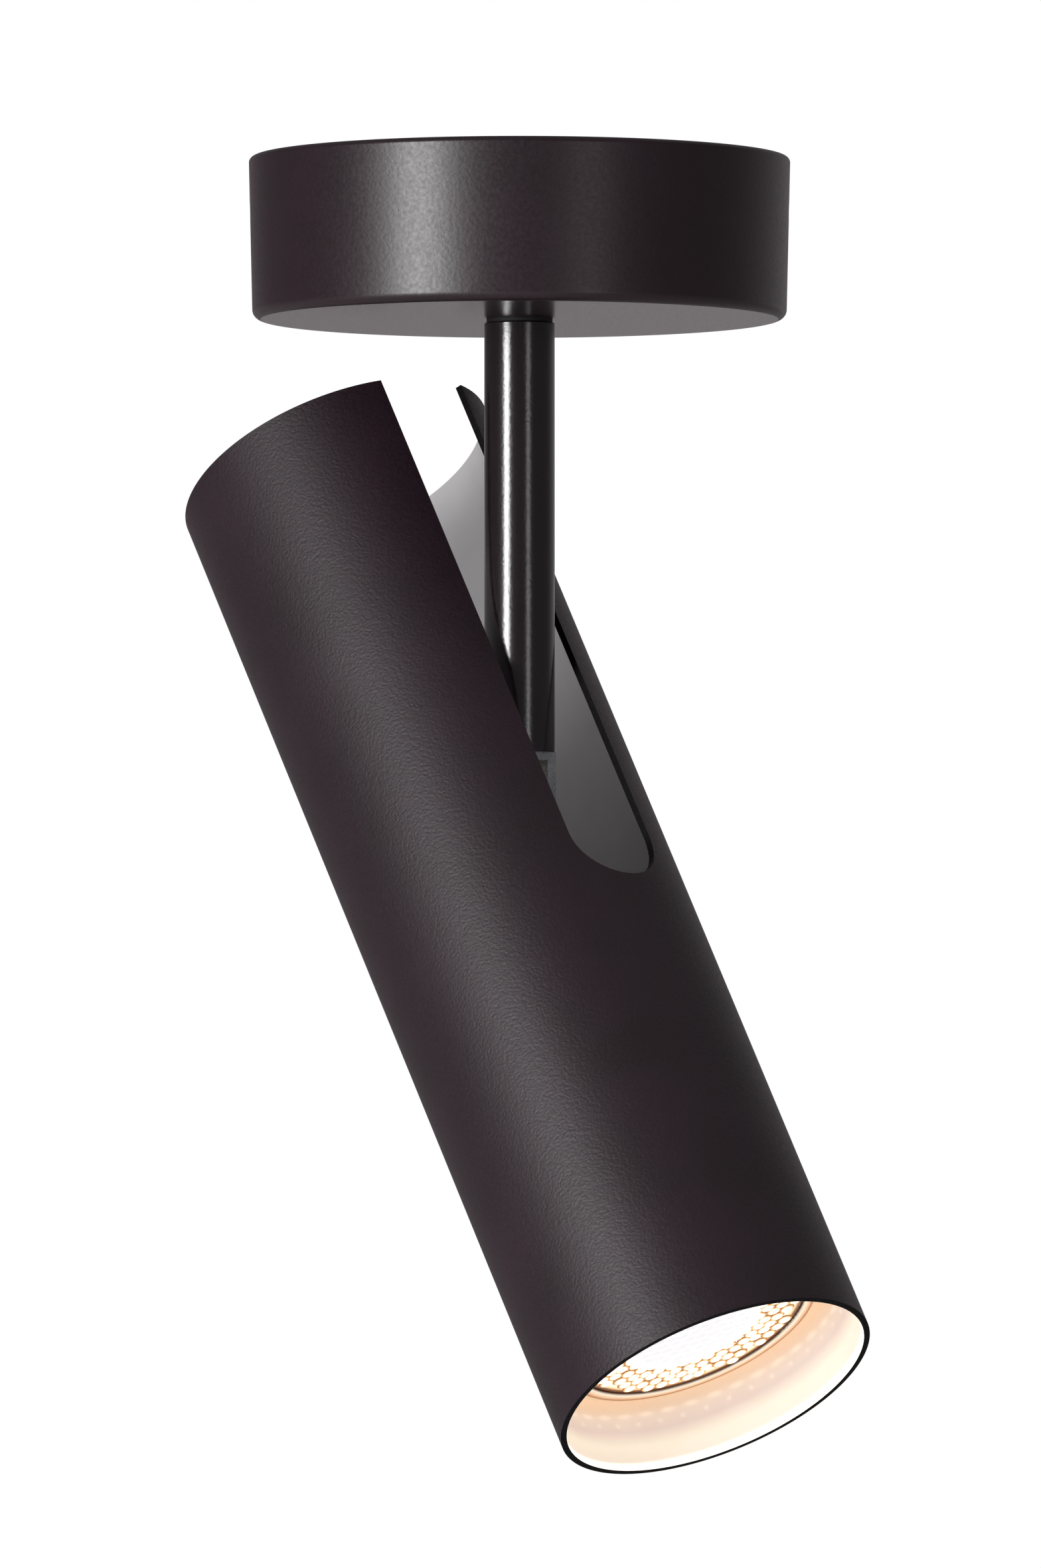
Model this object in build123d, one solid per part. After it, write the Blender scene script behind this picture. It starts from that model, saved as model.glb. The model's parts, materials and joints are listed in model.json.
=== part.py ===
from build123d import *
import math
import os

# Tilting ceiling spot: canopy, swivelling stem, slotted lamp tube, twist-lock reflector bulb.
# Row frame in millimetres: +Z up, the ceiling is the plane z = 0, the canopy's axis is the Z axis,
# and the ceiling bracket runs along X.

# Canopy
CANOPY_D = 100.0  # across the rim, at the ceiling
CANOPY_FLOOR_D = 98.6  # across the floor: the wall has a little draft
CANOPY_H = 30.0
CANOPY_WALL = 1.2
CANOPY_CORNER_R = 1.8  # outside, where the wall turns into the floor
CANOPY_RIM_R = 0.6

# Ceiling bracket and its two grub screws
BRACKET_T = 2.0
BRACKET_W = 26.0
BRACKET_NARROW = 9.0  # length of each end that is only as wide as its tab
TAB_W = 14.0
TAB_H = 18.0
TAB_GAP = 0.4  # tab corners to the canopy wall
CEILING_SPACING = 70.0
CEILING_SLOT_W = 4.5
CEILING_SLOT_L = 12.0
SUPPLY_HOLE_D = 14.0
GRUB_D = 4.0
GRUB_L = 6.5
GRUB_DROP = 10.0  # below the ceiling
GRUB_RECESS = 0.3  # outer end below the canopy's surface
GRUB_HOLE_GAP = 0.15

# Supply terminal and earth screw under the bracket
BLOCK_SLOT_GAP = 1.0  # to the ceiling slot beside it
BLOCK_L = 16.0
BLOCK_W = 23.0
BLOCK_H = 12.0
BLOCK_EDGE_R = 1.0
POLE_PITCH = 12.5
INSERT_D = 5.0
INSERT_BORE = 3.2
INSERT_L = 14.0
TERMINAL_SCREW_D = 2.6
TERMINAL_SCREW_X = 4.5  # from the block's middle
TERMINAL_SCREW_RECESS = 1.2
TERMINAL_CUT_W = 0.5  # screwdriver slot
TERMINAL_CUT_DEPTH = 0.7
EARTH_SLOT_GAP = 3.0  # screw to the ceiling slot beside it
EARTH_SCREW_D = 4.0
EARTH_HEAD_D = 7.0
LUG_T = 0.8
LUG_RING_D = 8.0
LUG_NECK_L = 2.0
LUG_BARREL_D = 3.6
LUG_BARREL_L = 6.0
LUG_LAP = 1.0  # flat of a tag under its barrel

# Small screws
M3_D = 3.0
M3_HEAD_D = 5.5
M3_HEAD_H = 2.0
M3_NUT_AF = 5.5
M3_NUT_H = 2.4
SOCKET_SHARE = 0.45  # hexagon socket across flats, of the head
SOCKET_DEPTH = 1.2
SCREW_SHORT = 0.2  # screw end below the face that it comes out of

# Swivel under the canopy floor and on the nipple
STEM_D = 13.0
STEM_BORE = 9.0
STEM_L = 79.4
STEM_EDGE_R = 0.3
SWIVEL_WASHER_T = 0.6
SWIVEL_WASHER_D = 12.2
NIPPLE_D = 10.0
NIPPLE_BORE = 7.0
THREAD_L = 12.0  # threaded length in each end of the stem
NIPPLE_FLOOR_GAP = 0.2  # nipple to the hole in the canopy floor
BEARING_D = 20.0
BEARING_T = 0.8
STOP_T = 1.2
STOP_D = 18.0
STOP_FINGER_W = 2.0
STOP_FINGER_R = 14.5
STOP_STUD_D = 2.0
STOP_STUD_R = 12.5  # from the axis
STOP_STUD_GAP = 0.7  # stud end above the finger
SPRING_D = 18.0
SPRING_T = 0.6
SPRING_RISE = 0.5
SWIVEL_NUT_AF = 14.0
SWIVEL_NUT_H = 5.0
NIPPLE_PROUD = 1.8  # above the nut
CABLE_PROUD = 1.0  # above the nipple

# Fork and tilt pivot
FORK_W = 9.5
FORK_CHEEK_T = 2.0
FORK_GAP = 5.5
FORK_WEB = 1.5
FORK_CABLE_GAP = 0.2
PIVOT_DROP = 29.4  # pivot below the stem's end
PIVOT_D = 5.0
PIVOT_RUNNING_GAP = 0.05
PIVOT_HEAD_D = 8.5
PIVOT_HEAD_H = 3.0
PIVOT_WASHER_D = 9.0
PIVOT_WASHER_T = 1.0
PIVOT_NUT_AF = 8.0
PIVOT_NUT_H = 5.0
PIVOT_PROUD = 1.0
FRICTION_T = 0.8
LUG_SIDE_GAP = 0.05

# Lamp tube, measured along its axis from the pivot
TUBE_D = 60.0
TUBE_WALL = 1.2
TUBE_L = 202.5
PIVOT_FROM_TOP = 99.1
TUBE_EDGE_R = 0.5  # at the mouth
SLOT_W = 19.5
SLOT_CENTRE_DROP = 1.5  # centre of the slot's round end, below the pivot

# Carriage and hinge lug
CARRIAGE_GAP = 0.15  # to the tube
CARRIAGE_T = 1.5
SKIRT_H = 8.0
SKIRT_BELOW_SLOT = 0.75
CARRIAGE_SCREW_L = 5.5
CARRIAGE_SCREW_ANGLES = (165.0, 195.0)
HINGE_W = 11.0
FOOT_L = 22.0
FOOT_W = 10.0
FOOT_T = 3.0
FOOT_SCREW_X = 8.0
GROMMET_X = -16.5
GROMMET_D = 7.0
GROMMET_FLANGE_D = 9.0
GROMMET_FLANGE_T = 1.6
GROMMET_BORE = 4.4
HEAD_TAG_RING_D = 6.5
HEAD_TAG_FOOT_GAP = 0.1  # barrel to the lug's foot
HEAD_TAG_SKIRT_GAP = 1.0  # ring to the carriage's skirt

# Lampholder
SPACER_D = 6.0
SPACER_L = 9.0
HOLDER_SCREW_Y = 10.5
HOLDER_D = 30.0
HOLDER_EDGE_R = 1.0
CAP_H = 6.0
CAP_ROOF = 3.0
CHAMBER_L = 23.4
CHAMBER_W = 13.0
LEAD_HOLE_X = -10.4
LEAD_HOLE_Y = 3.8
LEAD_HOLE_D = 2.2
SOCKET_H = 11.0  # the ceramic half that takes the pins
SOCKET_LIP = 3.0
COUNTERBORE = 2.6
CONTACT_T = 0.6
CONTACT_W = 4.6
CONTACT_MID_GAP = 1.6
CONTACT_LEAF_T = 1.2
CONTACT_PIN_GAP = 0.25

# Twist-lock bulb
PIN_PITCH = 10.0
PIN_HEAD_D = 5.0
PIN_HEAD_H = 3.5
PIN_NECK_D = 3.2
PIN_LIP_GAP = 0.5  # pin head above the lip
PIN_SIDE_GAP = 0.4
TWIST = 25.0  # degrees from locked to free
BULB_D = 50.0
BULB_L = 43.5  # without pins
BULB_SEAT_GAP = 0.3
BASE_D = 25.0
BASE_H = 15.2
BASE_WALL = 2.0
NECK_L = 4.0
NECK_WALL = 1.8
RIM_H = 3.3
RIM_W = 2.8
RIM_EDGE_R = 0.5
LENS_T = 2.0
LENS_LEDGE = 1.5
LENS_RECESS = 0.3
LENS_GAP = 0.15
LED_T = 1.5
LED_CHIP_D = 10.0
LED_CHIP_H = 0.8
LED_GAP = 0.1
DRIVER_T = 1.6
DRIVER_GAP = 1.05  # board to the dish's neck
DISH_SAG_OUT = 0.62  # middle of the dish's curve, as a share of its width
DISH_SAG_DOWN = 0.42  # and of its depth

# Wiring
CABLE_D = 6.0
CABLE_END_GAP = 0.3
LEAD_D = 2.0
HEAD_LEAD_D = 1.6
HEAD_LEAD_PITCH = 1.75
LEAD_CIRCLE_R = 1.3
LEAD_BEND_SHARE = 0.45  # of the shorter run beside a bend, taken by the bend
LEAD_STRAIGHT = 2.5  # run before a terminal
EARTH_STRAIGHT = 3.5  # run before the canopy's earth lug
HEAD_EARTH_STRAIGHT = 1.5  # run before the head's earth tag
FORK_LEAVE = (-1.5, 9.0)  # where the head leads leave the fork: towards its back, and down
LIVE_WAY = ((-4.5, 1.6, 11.0), (-12.5, 1.1, 2.0), (-16.5, 1.0, -10.0))
EARTH_WAY = ((-4.0, 0.0, 11.0), (-10.0, 0.0, 2.0), (-12.3, 0.2, -7.0))
GROMMET_DROP = 2.4  # live and neutral leads run straight this far below the carriage
HOLDER_RISE = 1.6  # and enter the holder from this far above it
CRIMP_GAP = 0.05
THREAD_GAP = 0.05  # on the radius, between screwed pieces
SCREW_HOLE_GAP = 0.15  # on the radius, round a screw's shank

# Rest pose: the head leans by REST_TILT, and the stem is turned by REST_PAN about Z
REST_TILT = 31.7
REST_PAN = -49.0

BOTTOM = (Align.CENTER, Align.CENTER, Align.MIN)
ALONG_X = Rot(0, 90, 0)
ALONG_Y = Rot(-90, 0, 0)

# Places and heights in the row frame
FLOOR_TOP = -CANOPY_H + CANOPY_WALL
CEILING_SLOT_IN = CEILING_SPACING / 2 - CEILING_SLOT_L / 2
BLOCK_X = -(CEILING_SLOT_IN - BLOCK_SLOT_GAP - BLOCK_L / 2)
EARTH_X = CEILING_SLOT_IN - EARTH_SLOT_GAP - EARTH_SCREW_D / 2
STEM_TOP = -CANOPY_H - SWIVEL_WASHER_T
STEM_END = STEM_TOP - STEM_L
PIVOT_Z = STEM_END - PIVOT_DROP
STOP_LOW = FLOOR_TOP + BEARING_T
SPRING_LOW = STOP_LOW + STOP_T
SWIVEL_NUT_LOW = SPRING_LOW + SPRING_T + SPRING_RISE
NIPPLE_TOP = SWIVEL_NUT_LOW + SWIVEL_NUT_H + NIPPLE_PROUD
CABLE_TOP = NIPPLE_TOP + CABLE_PROUD
CABLE_END = STEM_END - FORK_WEB

# Places and heights in the head, from the pivot
TUBE_TOP = PIVOT_FROM_TOP
TUBE_MOUTH = PIVOT_FROM_TOP - TUBE_L
SKIRT_TOP = -SLOT_CENTRE_DROP - SLOT_W / 2 - SKIRT_BELOW_SLOT
DISC_TOP = SKIRT_TOP - SKIRT_H
DISC_LOW = DISC_TOP - CARRIAGE_T
CAP_TOP = DISC_LOW - SPACER_L
SOCKET_TOP = CAP_TOP - CAP_H
SOCKET_LOW = SOCKET_TOP - SOCKET_H
BULB_TOP = SOCKET_LOW - BULB_SEAT_GAP
BASE_LOW = BULB_TOP - BASE_H
BULB_FRONT = BULB_TOP - BULB_L
TUBE_BORE = TUBE_D - 2 * TUBE_WALL
CARRIAGE_D = TUBE_BORE - 2 * CARRIAGE_GAP
HINGE_T = FORK_GAP - 2 * FRICTION_T - 2 * LUG_SIDE_GAP
HEAD_TAG_R = CARRIAGE_D / 2 - CARRIAGE_T - HEAD_TAG_SKIRT_GAP - HEAD_TAG_RING_D / 2
HEAD_TAG_X = -(FOOT_L / 2 + HEAD_TAG_FOOT_GAP + LUG_BARREL_D / 2)
HEAD_TAG_Y = -math.sqrt(HEAD_TAG_R**2 - HEAD_TAG_X**2)


# Plain shapes


def rod(diameter, low, high):
    """Cylinder on the Z axis between two heights."""
    return Pos(0, 0, low) * Cylinder(diameter / 2, high - low, align=BOTTOM)


def pipe(outer, inner, low, high):
    """Hollow cylinder on the Z axis between two heights."""
    return rod(outer, low, high) - rod(inner, low, high)


def block(x, y, z):
    """Box from three (low, high) pairs."""
    sizes = [high - low for low, high in (x, y, z)]
    middles = [(high + low) / 2 for low, high in (x, y, z)]
    return Pos(*middles) * Box(*sizes)


def hexagon(across_flats, low, high):
    """Six-sided prism on the Z axis between two heights."""
    outline = RegularPolygon(across_flats / 2, 6, major_radius=False)
    return Pos(0, 0, low) * extrude(outline, high - low)


def rounded(outline, point, radius):
    """Outline with the corner nearest to (x, y) rounded."""
    corner = outline.vertices().sort_by_distance(Vector(*point))[0]
    return fillet(corner, radius)


def turned(outline):
    """Solid of revolution about Z from an outline drawn as (radius, height)."""
    return revolve(Plane.XZ * outline, Axis.Z)


def screw(diameter, length, head_d, head_h):
    """Button-head screw: head below z = 0, shank upwards, hexagon socket in the head."""
    socket = hexagon(head_d * SOCKET_SHARE, -head_h, -head_h + SOCKET_DEPTH)
    return rod(diameter, 0, length) + rod(head_d, -head_h, 0) - socket


def ring_tag(ring_d, hole_d, barrel_bore):
    """Crimped ring tag: ring under z = 0 round the origin, barrel towards +X, open at its far end."""
    barrel_from = ring_d / 2 + LUG_NECK_L
    barrel_to = barrel_from + LUG_BARREL_L
    strip = block((0, barrel_from + LUG_LAP), (-LUG_BARREL_D / 2, LUG_BARREL_D / 2), (-LUG_T, 0))
    plate = rod(ring_d, -LUG_T, 0) + strip - rod(hole_d, -LUG_T, 0)
    barrel = Pos(0, 0, -LUG_BARREL_D / 2) * ALONG_X * rod(LUG_BARREL_D, barrel_from, barrel_to)
    bore = Pos(0, 0, -LUG_BARREL_D / 2) * ALONG_X * rod(barrel_bore, barrel_from, barrel_to)
    return plate + barrel - bore


def lead(points, diameter):
    """Insulated wire along straight runs joined by the largest arcs that they allow."""
    corners = [Vector(*point) for point in points]
    radii = []
    for before, corner, after in zip(corners, corners[1:], corners[2:]):
        inward = corner - before
        outward = after - corner
        half_turn = math.radians(inward.get_angle(outward)) / 2
        radii.append(LEAD_BEND_SHARE * min(inward.length, outward.length) / math.tan(half_turn))
    path = FilletPolyline(*corners, radius=radii)
    wire = sweep(Plane(path @ 0, z_dir=path % 0) * Circle(diameter / 2), path)
    expected = math.pi * diameter**2 / 4 * path.length
    shown = [round(radius, 1) for radius in radii]
    print("lead length", round(path.length, 1), "radii", shown, "volume share", round(wire.volume / expected, 4))
    return wire


# Fixed to the ceiling


def canopy_radius(height):
    """Outer radius of the canopy's wall at a height."""
    return CANOPY_D / 2 + (CANOPY_D - CANOPY_FLOOR_D) / 2 * height / CANOPY_H


def make_canopy():
    """Deep-drawn cup, open towards the ceiling."""
    rim = CANOPY_D / 2
    foot = CANOPY_FLOOR_D / 2
    corners = [(rim - CANOPY_WALL, 0), (rim, 0), (foot, -CANOPY_H), (0, -CANOPY_H), (0, FLOOR_TOP)]
    corners.append((foot - CANOPY_WALL, FLOOR_TOP))
    outline = make_face(Polyline(*corners, close=True))
    outline = rounded(outline, (rim, 0), CANOPY_RIM_R)
    outline = rounded(outline, (foot, -CANOPY_H), CANOPY_CORNER_R)
    outline = rounded(outline, (foot - CANOPY_WALL, FLOOR_TOP), CANOPY_CORNER_R - CANOPY_WALL)
    cup = turned(outline)
    cup -= rod(NIPPLE_D + 2 * NIPPLE_FLOOR_GAP, -CANOPY_H, FLOOR_TOP)
    side_hole = ALONG_X * rod(GRUB_D + 2 * GRUB_HOLE_GAP, -CANOPY_D, CANOPY_D)
    return cup - Pos(0, 0, -GRUB_DROP) * side_hole


TAB_OUT = math.sqrt((canopy_radius(-TAB_H) - CANOPY_WALL - TAB_GAP) ** 2 - (TAB_W / 2) ** 2)


def make_ceiling_bracket():
    """Strap with two turned-down tabs, slots for the ceiling screws and a hole for the supply."""
    wide = TAB_OUT - BRACKET_NARROW
    strap = block((-TAB_OUT, TAB_OUT), (-TAB_W / 2, TAB_W / 2), (-BRACKET_T, 0))
    strap += block((-wide, wide), (-BRACKET_W / 2, BRACKET_W / 2), (-BRACKET_T, 0))
    for side in (-1, 1):
        tab = block((TAB_OUT - BRACKET_T, TAB_OUT), (-TAB_W / 2, TAB_W / 2), (-TAB_H, 0))
        strap += Rot(0, 0, 90 - 90 * side) * tab
    bends = [edge for edge in strap.edges().filter_by(Axis.Y) if abs(edge.center().X) > TAB_OUT - 0.01]
    strap = fillet([edge for edge in bends if edge.center().Z > -0.01], BRACKET_T)
    strap -= rod(SUPPLY_HOLE_D, -BRACKET_T, 0)
    slot = extrude(SlotOverall(CEILING_SLOT_L, CEILING_SLOT_W), -BRACKET_T)
    for x in (-CEILING_SPACING / 2, CEILING_SPACING / 2):
        strap -= Pos(x, 0, 0) * slot
    strap -= Pos(BLOCK_X, 0, 0) * rod(M3_D + 2 * THREAD_GAP, -BRACKET_T, 0)
    strap -= Pos(EARTH_X, 0, 0) * rod(EARTH_SCREW_D + 2 * THREAD_GAP, -BRACKET_T, 0)
    tapped = ALONG_X * rod(GRUB_D + 2 * THREAD_GAP, -TAB_OUT, TAB_OUT)
    return strap - Pos(0, 0, -GRUB_DROP) * tapped


def make_canopy_screws():
    """Two grub screws: turned outwards, their ends carry the canopy's wall."""
    end = canopy_radius(-GRUB_DROP) - GRUB_RECESS
    grub = rod(GRUB_D, end - GRUB_L, end) - hexagon(GRUB_D * SOCKET_SHARE, end - SOCKET_DEPTH, end)
    grub = Pos(0, 0, -GRUB_DROP) * ALONG_X * grub
    return Compound([grub, Rot(0, 0, 180) * grub])


POLE_Z = -BRACKET_T - BLOCK_H / 2
BLOCK_LOW = -BRACKET_T - BLOCK_H
POLES = (-POLE_PITCH / 2, POLE_PITCH / 2)
TERMINAL_XS = (BLOCK_X - TERMINAL_SCREW_X, BLOCK_X + TERMINAL_SCREW_X)


def terminal_holes(diameter):
    """Upright holes of all four terminal screws, from the block's foot to the inserts' bores."""
    hole = rod(diameter, BLOCK_LOW, POLE_Z)
    return Compound([Pos(x, y, 0) * hole for x in TERMINAL_XS for y in POLES])


def make_terminal_block():
    """Two-pole supply terminal, hung under the bracket."""
    sides = (BLOCK_X - BLOCK_L / 2, BLOCK_X + BLOCK_L / 2)
    body = block(sides, (-BLOCK_W / 2, BLOCK_W / 2), (BLOCK_LOW, -BRACKET_T))
    body = fillet(body.edges().filter_by(Axis.X), BLOCK_EDGE_R)
    for y in POLES:
        body -= Pos(BLOCK_X, y, POLE_Z) * ALONG_X * rod(INSERT_D + 2 * CRIMP_GAP, -BLOCK_L, BLOCK_L)
    body -= terminal_holes(TERMINAL_SCREW_D + 2 * SCREW_HOLE_GAP)
    body -= Pos(BLOCK_X, 0, 0) * rod(M3_D + 2 * SCREW_HOLE_GAP, BLOCK_LOW, -BRACKET_T)
    seat = rod(M3_HEAD_D + 2 * SCREW_HOLE_GAP, BLOCK_LOW, BLOCK_LOW + M3_HEAD_H)
    return body - Pos(BLOCK_X, 0, 0) * seat


def make_terminal_inserts():
    """One brass sleeve per pole, each with two screw holes."""
    sleeve = ALONG_X * pipe(INSERT_D, INSERT_BORE, -INSERT_L / 2, INSERT_L / 2)
    sleeves = [Pos(BLOCK_X, y, POLE_Z) * sleeve for y in POLES]
    holes = terminal_holes(TERMINAL_SCREW_D + 2 * THREAD_GAP)
    return Compound([(sleeve - holes).solid() for sleeve in sleeves])


def make_terminal_screws():
    """Four slotted screws that press on the wires in the inserts."""
    tip = POLE_Z - LEAD_D / 2 - CRIMP_GAP
    low = BLOCK_LOW + TERMINAL_SCREW_RECESS
    pin = rod(TERMINAL_SCREW_D, low, tip)
    half = TERMINAL_CUT_W / 2
    pin -= block((-TERMINAL_SCREW_D, TERMINAL_SCREW_D), (-half, half), (low, low + TERMINAL_CUT_DEPTH))
    return Compound([Pos(x, y, 0) * pin for x in TERMINAL_XS for y in POLES])


def make_terminal_block_screw():
    """Holds the terminal block to the bracket."""
    length = BLOCK_H - M3_HEAD_H + BRACKET_T - SCREW_SHORT
    return Pos(BLOCK_X, 0, BLOCK_LOW + M3_HEAD_H) * screw(M3_D, length, M3_HEAD_D, M3_HEAD_H)


def make_earth_lug():
    """Ring tag of the earth lead, flat under the bracket, its barrel towards the canopy's axis."""
    tag = ring_tag(LUG_RING_D, EARTH_SCREW_D + 2 * SCREW_HOLE_GAP, LEAD_D + 2 * CRIMP_GAP)
    return Pos(EARTH_X, 0, -BRACKET_T) * Rot(0, 0, 180) * tag


def make_earth_screw():
    """Clamps the earth lug to the bracket."""
    length = LUG_T + BRACKET_T - SCREW_SHORT
    return Pos(EARTH_X, 0, -BRACKET_T - LUG_T) * screw(EARTH_SCREW_D, length, EARTH_HEAD_D, M3_HEAD_H)


def make_canopy_leads():
    """Live and neutral leads to the terminal, earth lead to the lug."""
    start = CABLE_TOP + CABLE_END_GAP
    insert_mouth = BLOCK_X + INSERT_L / 2
    lug_mouth = EARTH_X - LUG_RING_D / 2 - LUG_NECK_L - LUG_BARREL_L
    lug_z = -BRACKET_T - LUG_BARREL_D / 2
    wires = []
    for side in (-1, 1):
        turn = math.radians(180 - 60 * side)
        x = LEAD_CIRCLE_R * math.cos(turn)
        y = LEAD_CIRCLE_R * math.sin(turn)
        pole = side * POLE_PITCH / 2
        bend = (x - 0.8, y + 2.2 * side, POLE_Z - 0.4)
        inside = (insert_mouth - TERMINAL_SCREW_X, pole, POLE_Z)
        wires.append(lead([(x, y, start), bend, (insert_mouth + LEAD_STRAIGHT, pole, POLE_Z), inside], LEAD_D))
    climb = (LEAD_CIRCLE_R - 0.3, 0.3, lug_z - 1.2)
    into_lug = (lug_mouth + LUG_BARREL_L / 2, 0, lug_z)
    earth = [(LEAD_CIRCLE_R, 0, start), climb, (lug_mouth - EARTH_STRAIGHT, 0, lug_z), into_lug]
    wires.append(lead(earth, LEAD_D))
    return Compound(wires)


def make_swivel_stop_stud():
    """Welded stud on the canopy floor, opposite the stop washer's finger at rest."""
    stud = Pos(-STOP_STUD_R, 0, 0) * rod(STOP_STUD_D, FLOOR_TOP, SPRING_LOW + STOP_STUD_GAP)
    return Rot(0, 0, REST_PAN) * stud


# Turning with the stem


def make_stem():
    """Tube with an inside thread at each end."""
    thread_d = NIPPLE_D + 2 * THREAD_GAP
    body = rod(STEM_D, STEM_END, STEM_TOP)
    body = fillet(body.edges().filter_by(GeomType.CIRCLE), STEM_EDGE_R)
    body -= rod(STEM_BORE, STEM_END, STEM_TOP)
    body -= rod(thread_d, STEM_TOP - THREAD_L, STEM_TOP)
    return body - rod(thread_d, STEM_END, STEM_END + THREAD_L)


def make_stop_washer():
    """Keyed washer whose finger meets the stud at each end of the swivel."""
    ring = rod(STOP_D, STOP_LOW, SPRING_LOW)
    ring += block((0, STOP_FINGER_R), (-STOP_FINGER_W / 2, STOP_FINGER_W / 2), (STOP_LOW, SPRING_LOW))
    return ring - rod(NIPPLE_D + 2 * THREAD_GAP, STOP_LOW, SPRING_LOW)


def make_disc_spring():
    """Coned washer that keeps the swivel stiff."""
    inner = NIPPLE_D / 2 + SCREW_HOLE_GAP
    outer = SPRING_D / 2
    top = SWIVEL_NUT_LOW
    corners = [(outer, SPRING_LOW), (outer, SPRING_LOW + SPRING_T), (inner, top), (inner, top - SPRING_T)]
    return turned(make_face(Polyline(*corners, close=True)))


CHEEK_OUT = FORK_GAP / 2 + FORK_CHEEK_T
PIVOT_NUT_FROM = CHEEK_OUT + PIVOT_WASHER_T


def make_stem_fork():
    """Fork screwed into the stem, bored for the cable, with two cheeks round the hinge lug."""
    half = FORK_W / 2
    bar = block((-half, half), (-CHEEK_OUT, CHEEK_OUT), (PIVOT_Z, STEM_END))
    bar += Pos(0, 0, PIVOT_Z) * ALONG_Y * rod(FORK_W, -CHEEK_OUT, CHEEK_OUT)
    bar -= block((-FORK_W, FORK_W), (-FORK_GAP / 2, FORK_GAP / 2), (PIVOT_Z - FORK_W, CABLE_END))
    bar += rod(NIPPLE_D, STEM_END, STEM_END + THREAD_L)
    bar -= rod(CABLE_D + 2 * FORK_CABLE_GAP, CABLE_END, STEM_END + THREAD_L)
    return bar - Pos(0, 0, PIVOT_Z) * ALONG_Y * rod(PIVOT_D + 2 * THREAD_GAP, -CHEEK_OUT, CHEEK_OUT)


def at_pivot(shape):
    """Piece drawn along Z about the pivot, laid along the pivot's axis."""
    return Pos(0, 0, PIVOT_Z) * ALONG_Y * shape


def make_pivot_bolt():
    """Button-head bolt through cheeks, washers and lug."""
    length = 2 * PIVOT_NUT_FROM + PIVOT_NUT_H + PIVOT_PROUD
    return at_pivot(Pos(0, 0, -PIVOT_NUT_FROM) * screw(PIVOT_D, length, PIVOT_HEAD_D, PIVOT_HEAD_H))


def make_pivot_nut():
    """Self-locking nut that sets how stiffly the head tilts."""
    nut = hexagon(PIVOT_NUT_AF, PIVOT_NUT_FROM, PIVOT_NUT_FROM + PIVOT_NUT_H)
    return at_pivot(nut - rod(PIVOT_D + 2 * THREAD_GAP, 0, PIVOT_NUT_FROM + PIVOT_NUT_H))


def washer_pair(diameter, hole, low, high):
    """Two equal washers on the pivot, one on each side of its middle."""
    washer = pipe(diameter, hole, low, high)
    return Compound([at_pivot(washer), at_pivot(Rot(180, 0, 0) * washer)])


def make_pivot_washers():
    """Under the bolt's head and under the nut."""
    return washer_pair(PIVOT_WASHER_D, PIVOT_D + 2 * SCREW_HOLE_GAP, CHEEK_OUT, PIVOT_NUT_FROM)


def make_friction_washers():
    """Fibre washers between the cheeks and the lug."""
    hole = PIVOT_D + 2 * SCREW_HOLE_GAP
    return washer_pair(PIVOT_WASHER_D, hole, FORK_GAP / 2 - FRICTION_T, FORK_GAP / 2)


# Tilting with the head, drawn upright about the pivot with the slot towards +X


def make_lamp_tube():
    """Tube open at both ends, with a slot from its top past the pivot for the stem to swing out."""
    corners = [(TUBE_BORE / 2, TUBE_MOUTH), (TUBE_D / 2, TUBE_MOUTH)]
    corners += [(TUBE_D / 2, TUBE_TOP), (TUBE_BORE / 2, TUBE_TOP)]
    outline = make_face(Polyline(*corners, close=True))
    for corner in corners[:2]:
        outline = rounded(outline, corner, TUBE_EDGE_R)
    half = SLOT_W / 2
    left = (-half, -SLOT_CENTRE_DROP)
    right = (half, -SLOT_CENTRE_DROP)
    edge = Polyline(left, (-half, TUBE_L), (half, TUBE_L), right)
    edge += ThreePointArc(right, (0, -SLOT_CENTRE_DROP - half), left)
    slot = extrude(Plane.YZ * make_face(edge), TUBE_D)
    shell = Rot(0, 0, 90) * turned(outline)
    return shell - slot - carriage_screw_set(rod(M3_D + 2 * SCREW_HOLE_GAP, 0, TUBE_D))


def carriage_screw_set(shape):
    """Copies of a piece drawn along Z, laid outwards from the tube's axis at the carriage screws."""
    height = (SKIRT_TOP + DISC_TOP) / 2
    outwards = Pos(0, 0, height) * ALONG_X * shape
    return Compound([Rot(0, 0, angle) * outwards for angle in CARRIAGE_SCREW_ANGLES])


def make_carriage_screws():
    """Button-head screws from the tube's back into the carriage's skirt."""
    inwards = Rot(180, 0, 0) * screw(M3_D, CARRIAGE_SCREW_L, M3_HEAD_D, M3_HEAD_H)
    return carriage_screw_set(Pos(0, 0, TUBE_D / 2) * inwards)


HOLDER_SCREWS = ((0, -HOLDER_SCREW_Y), (0, HOLDER_SCREW_Y))
FOOT_SCREWS = ((-FOOT_SCREW_X, 0), (FOOT_SCREW_X, 0))


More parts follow.
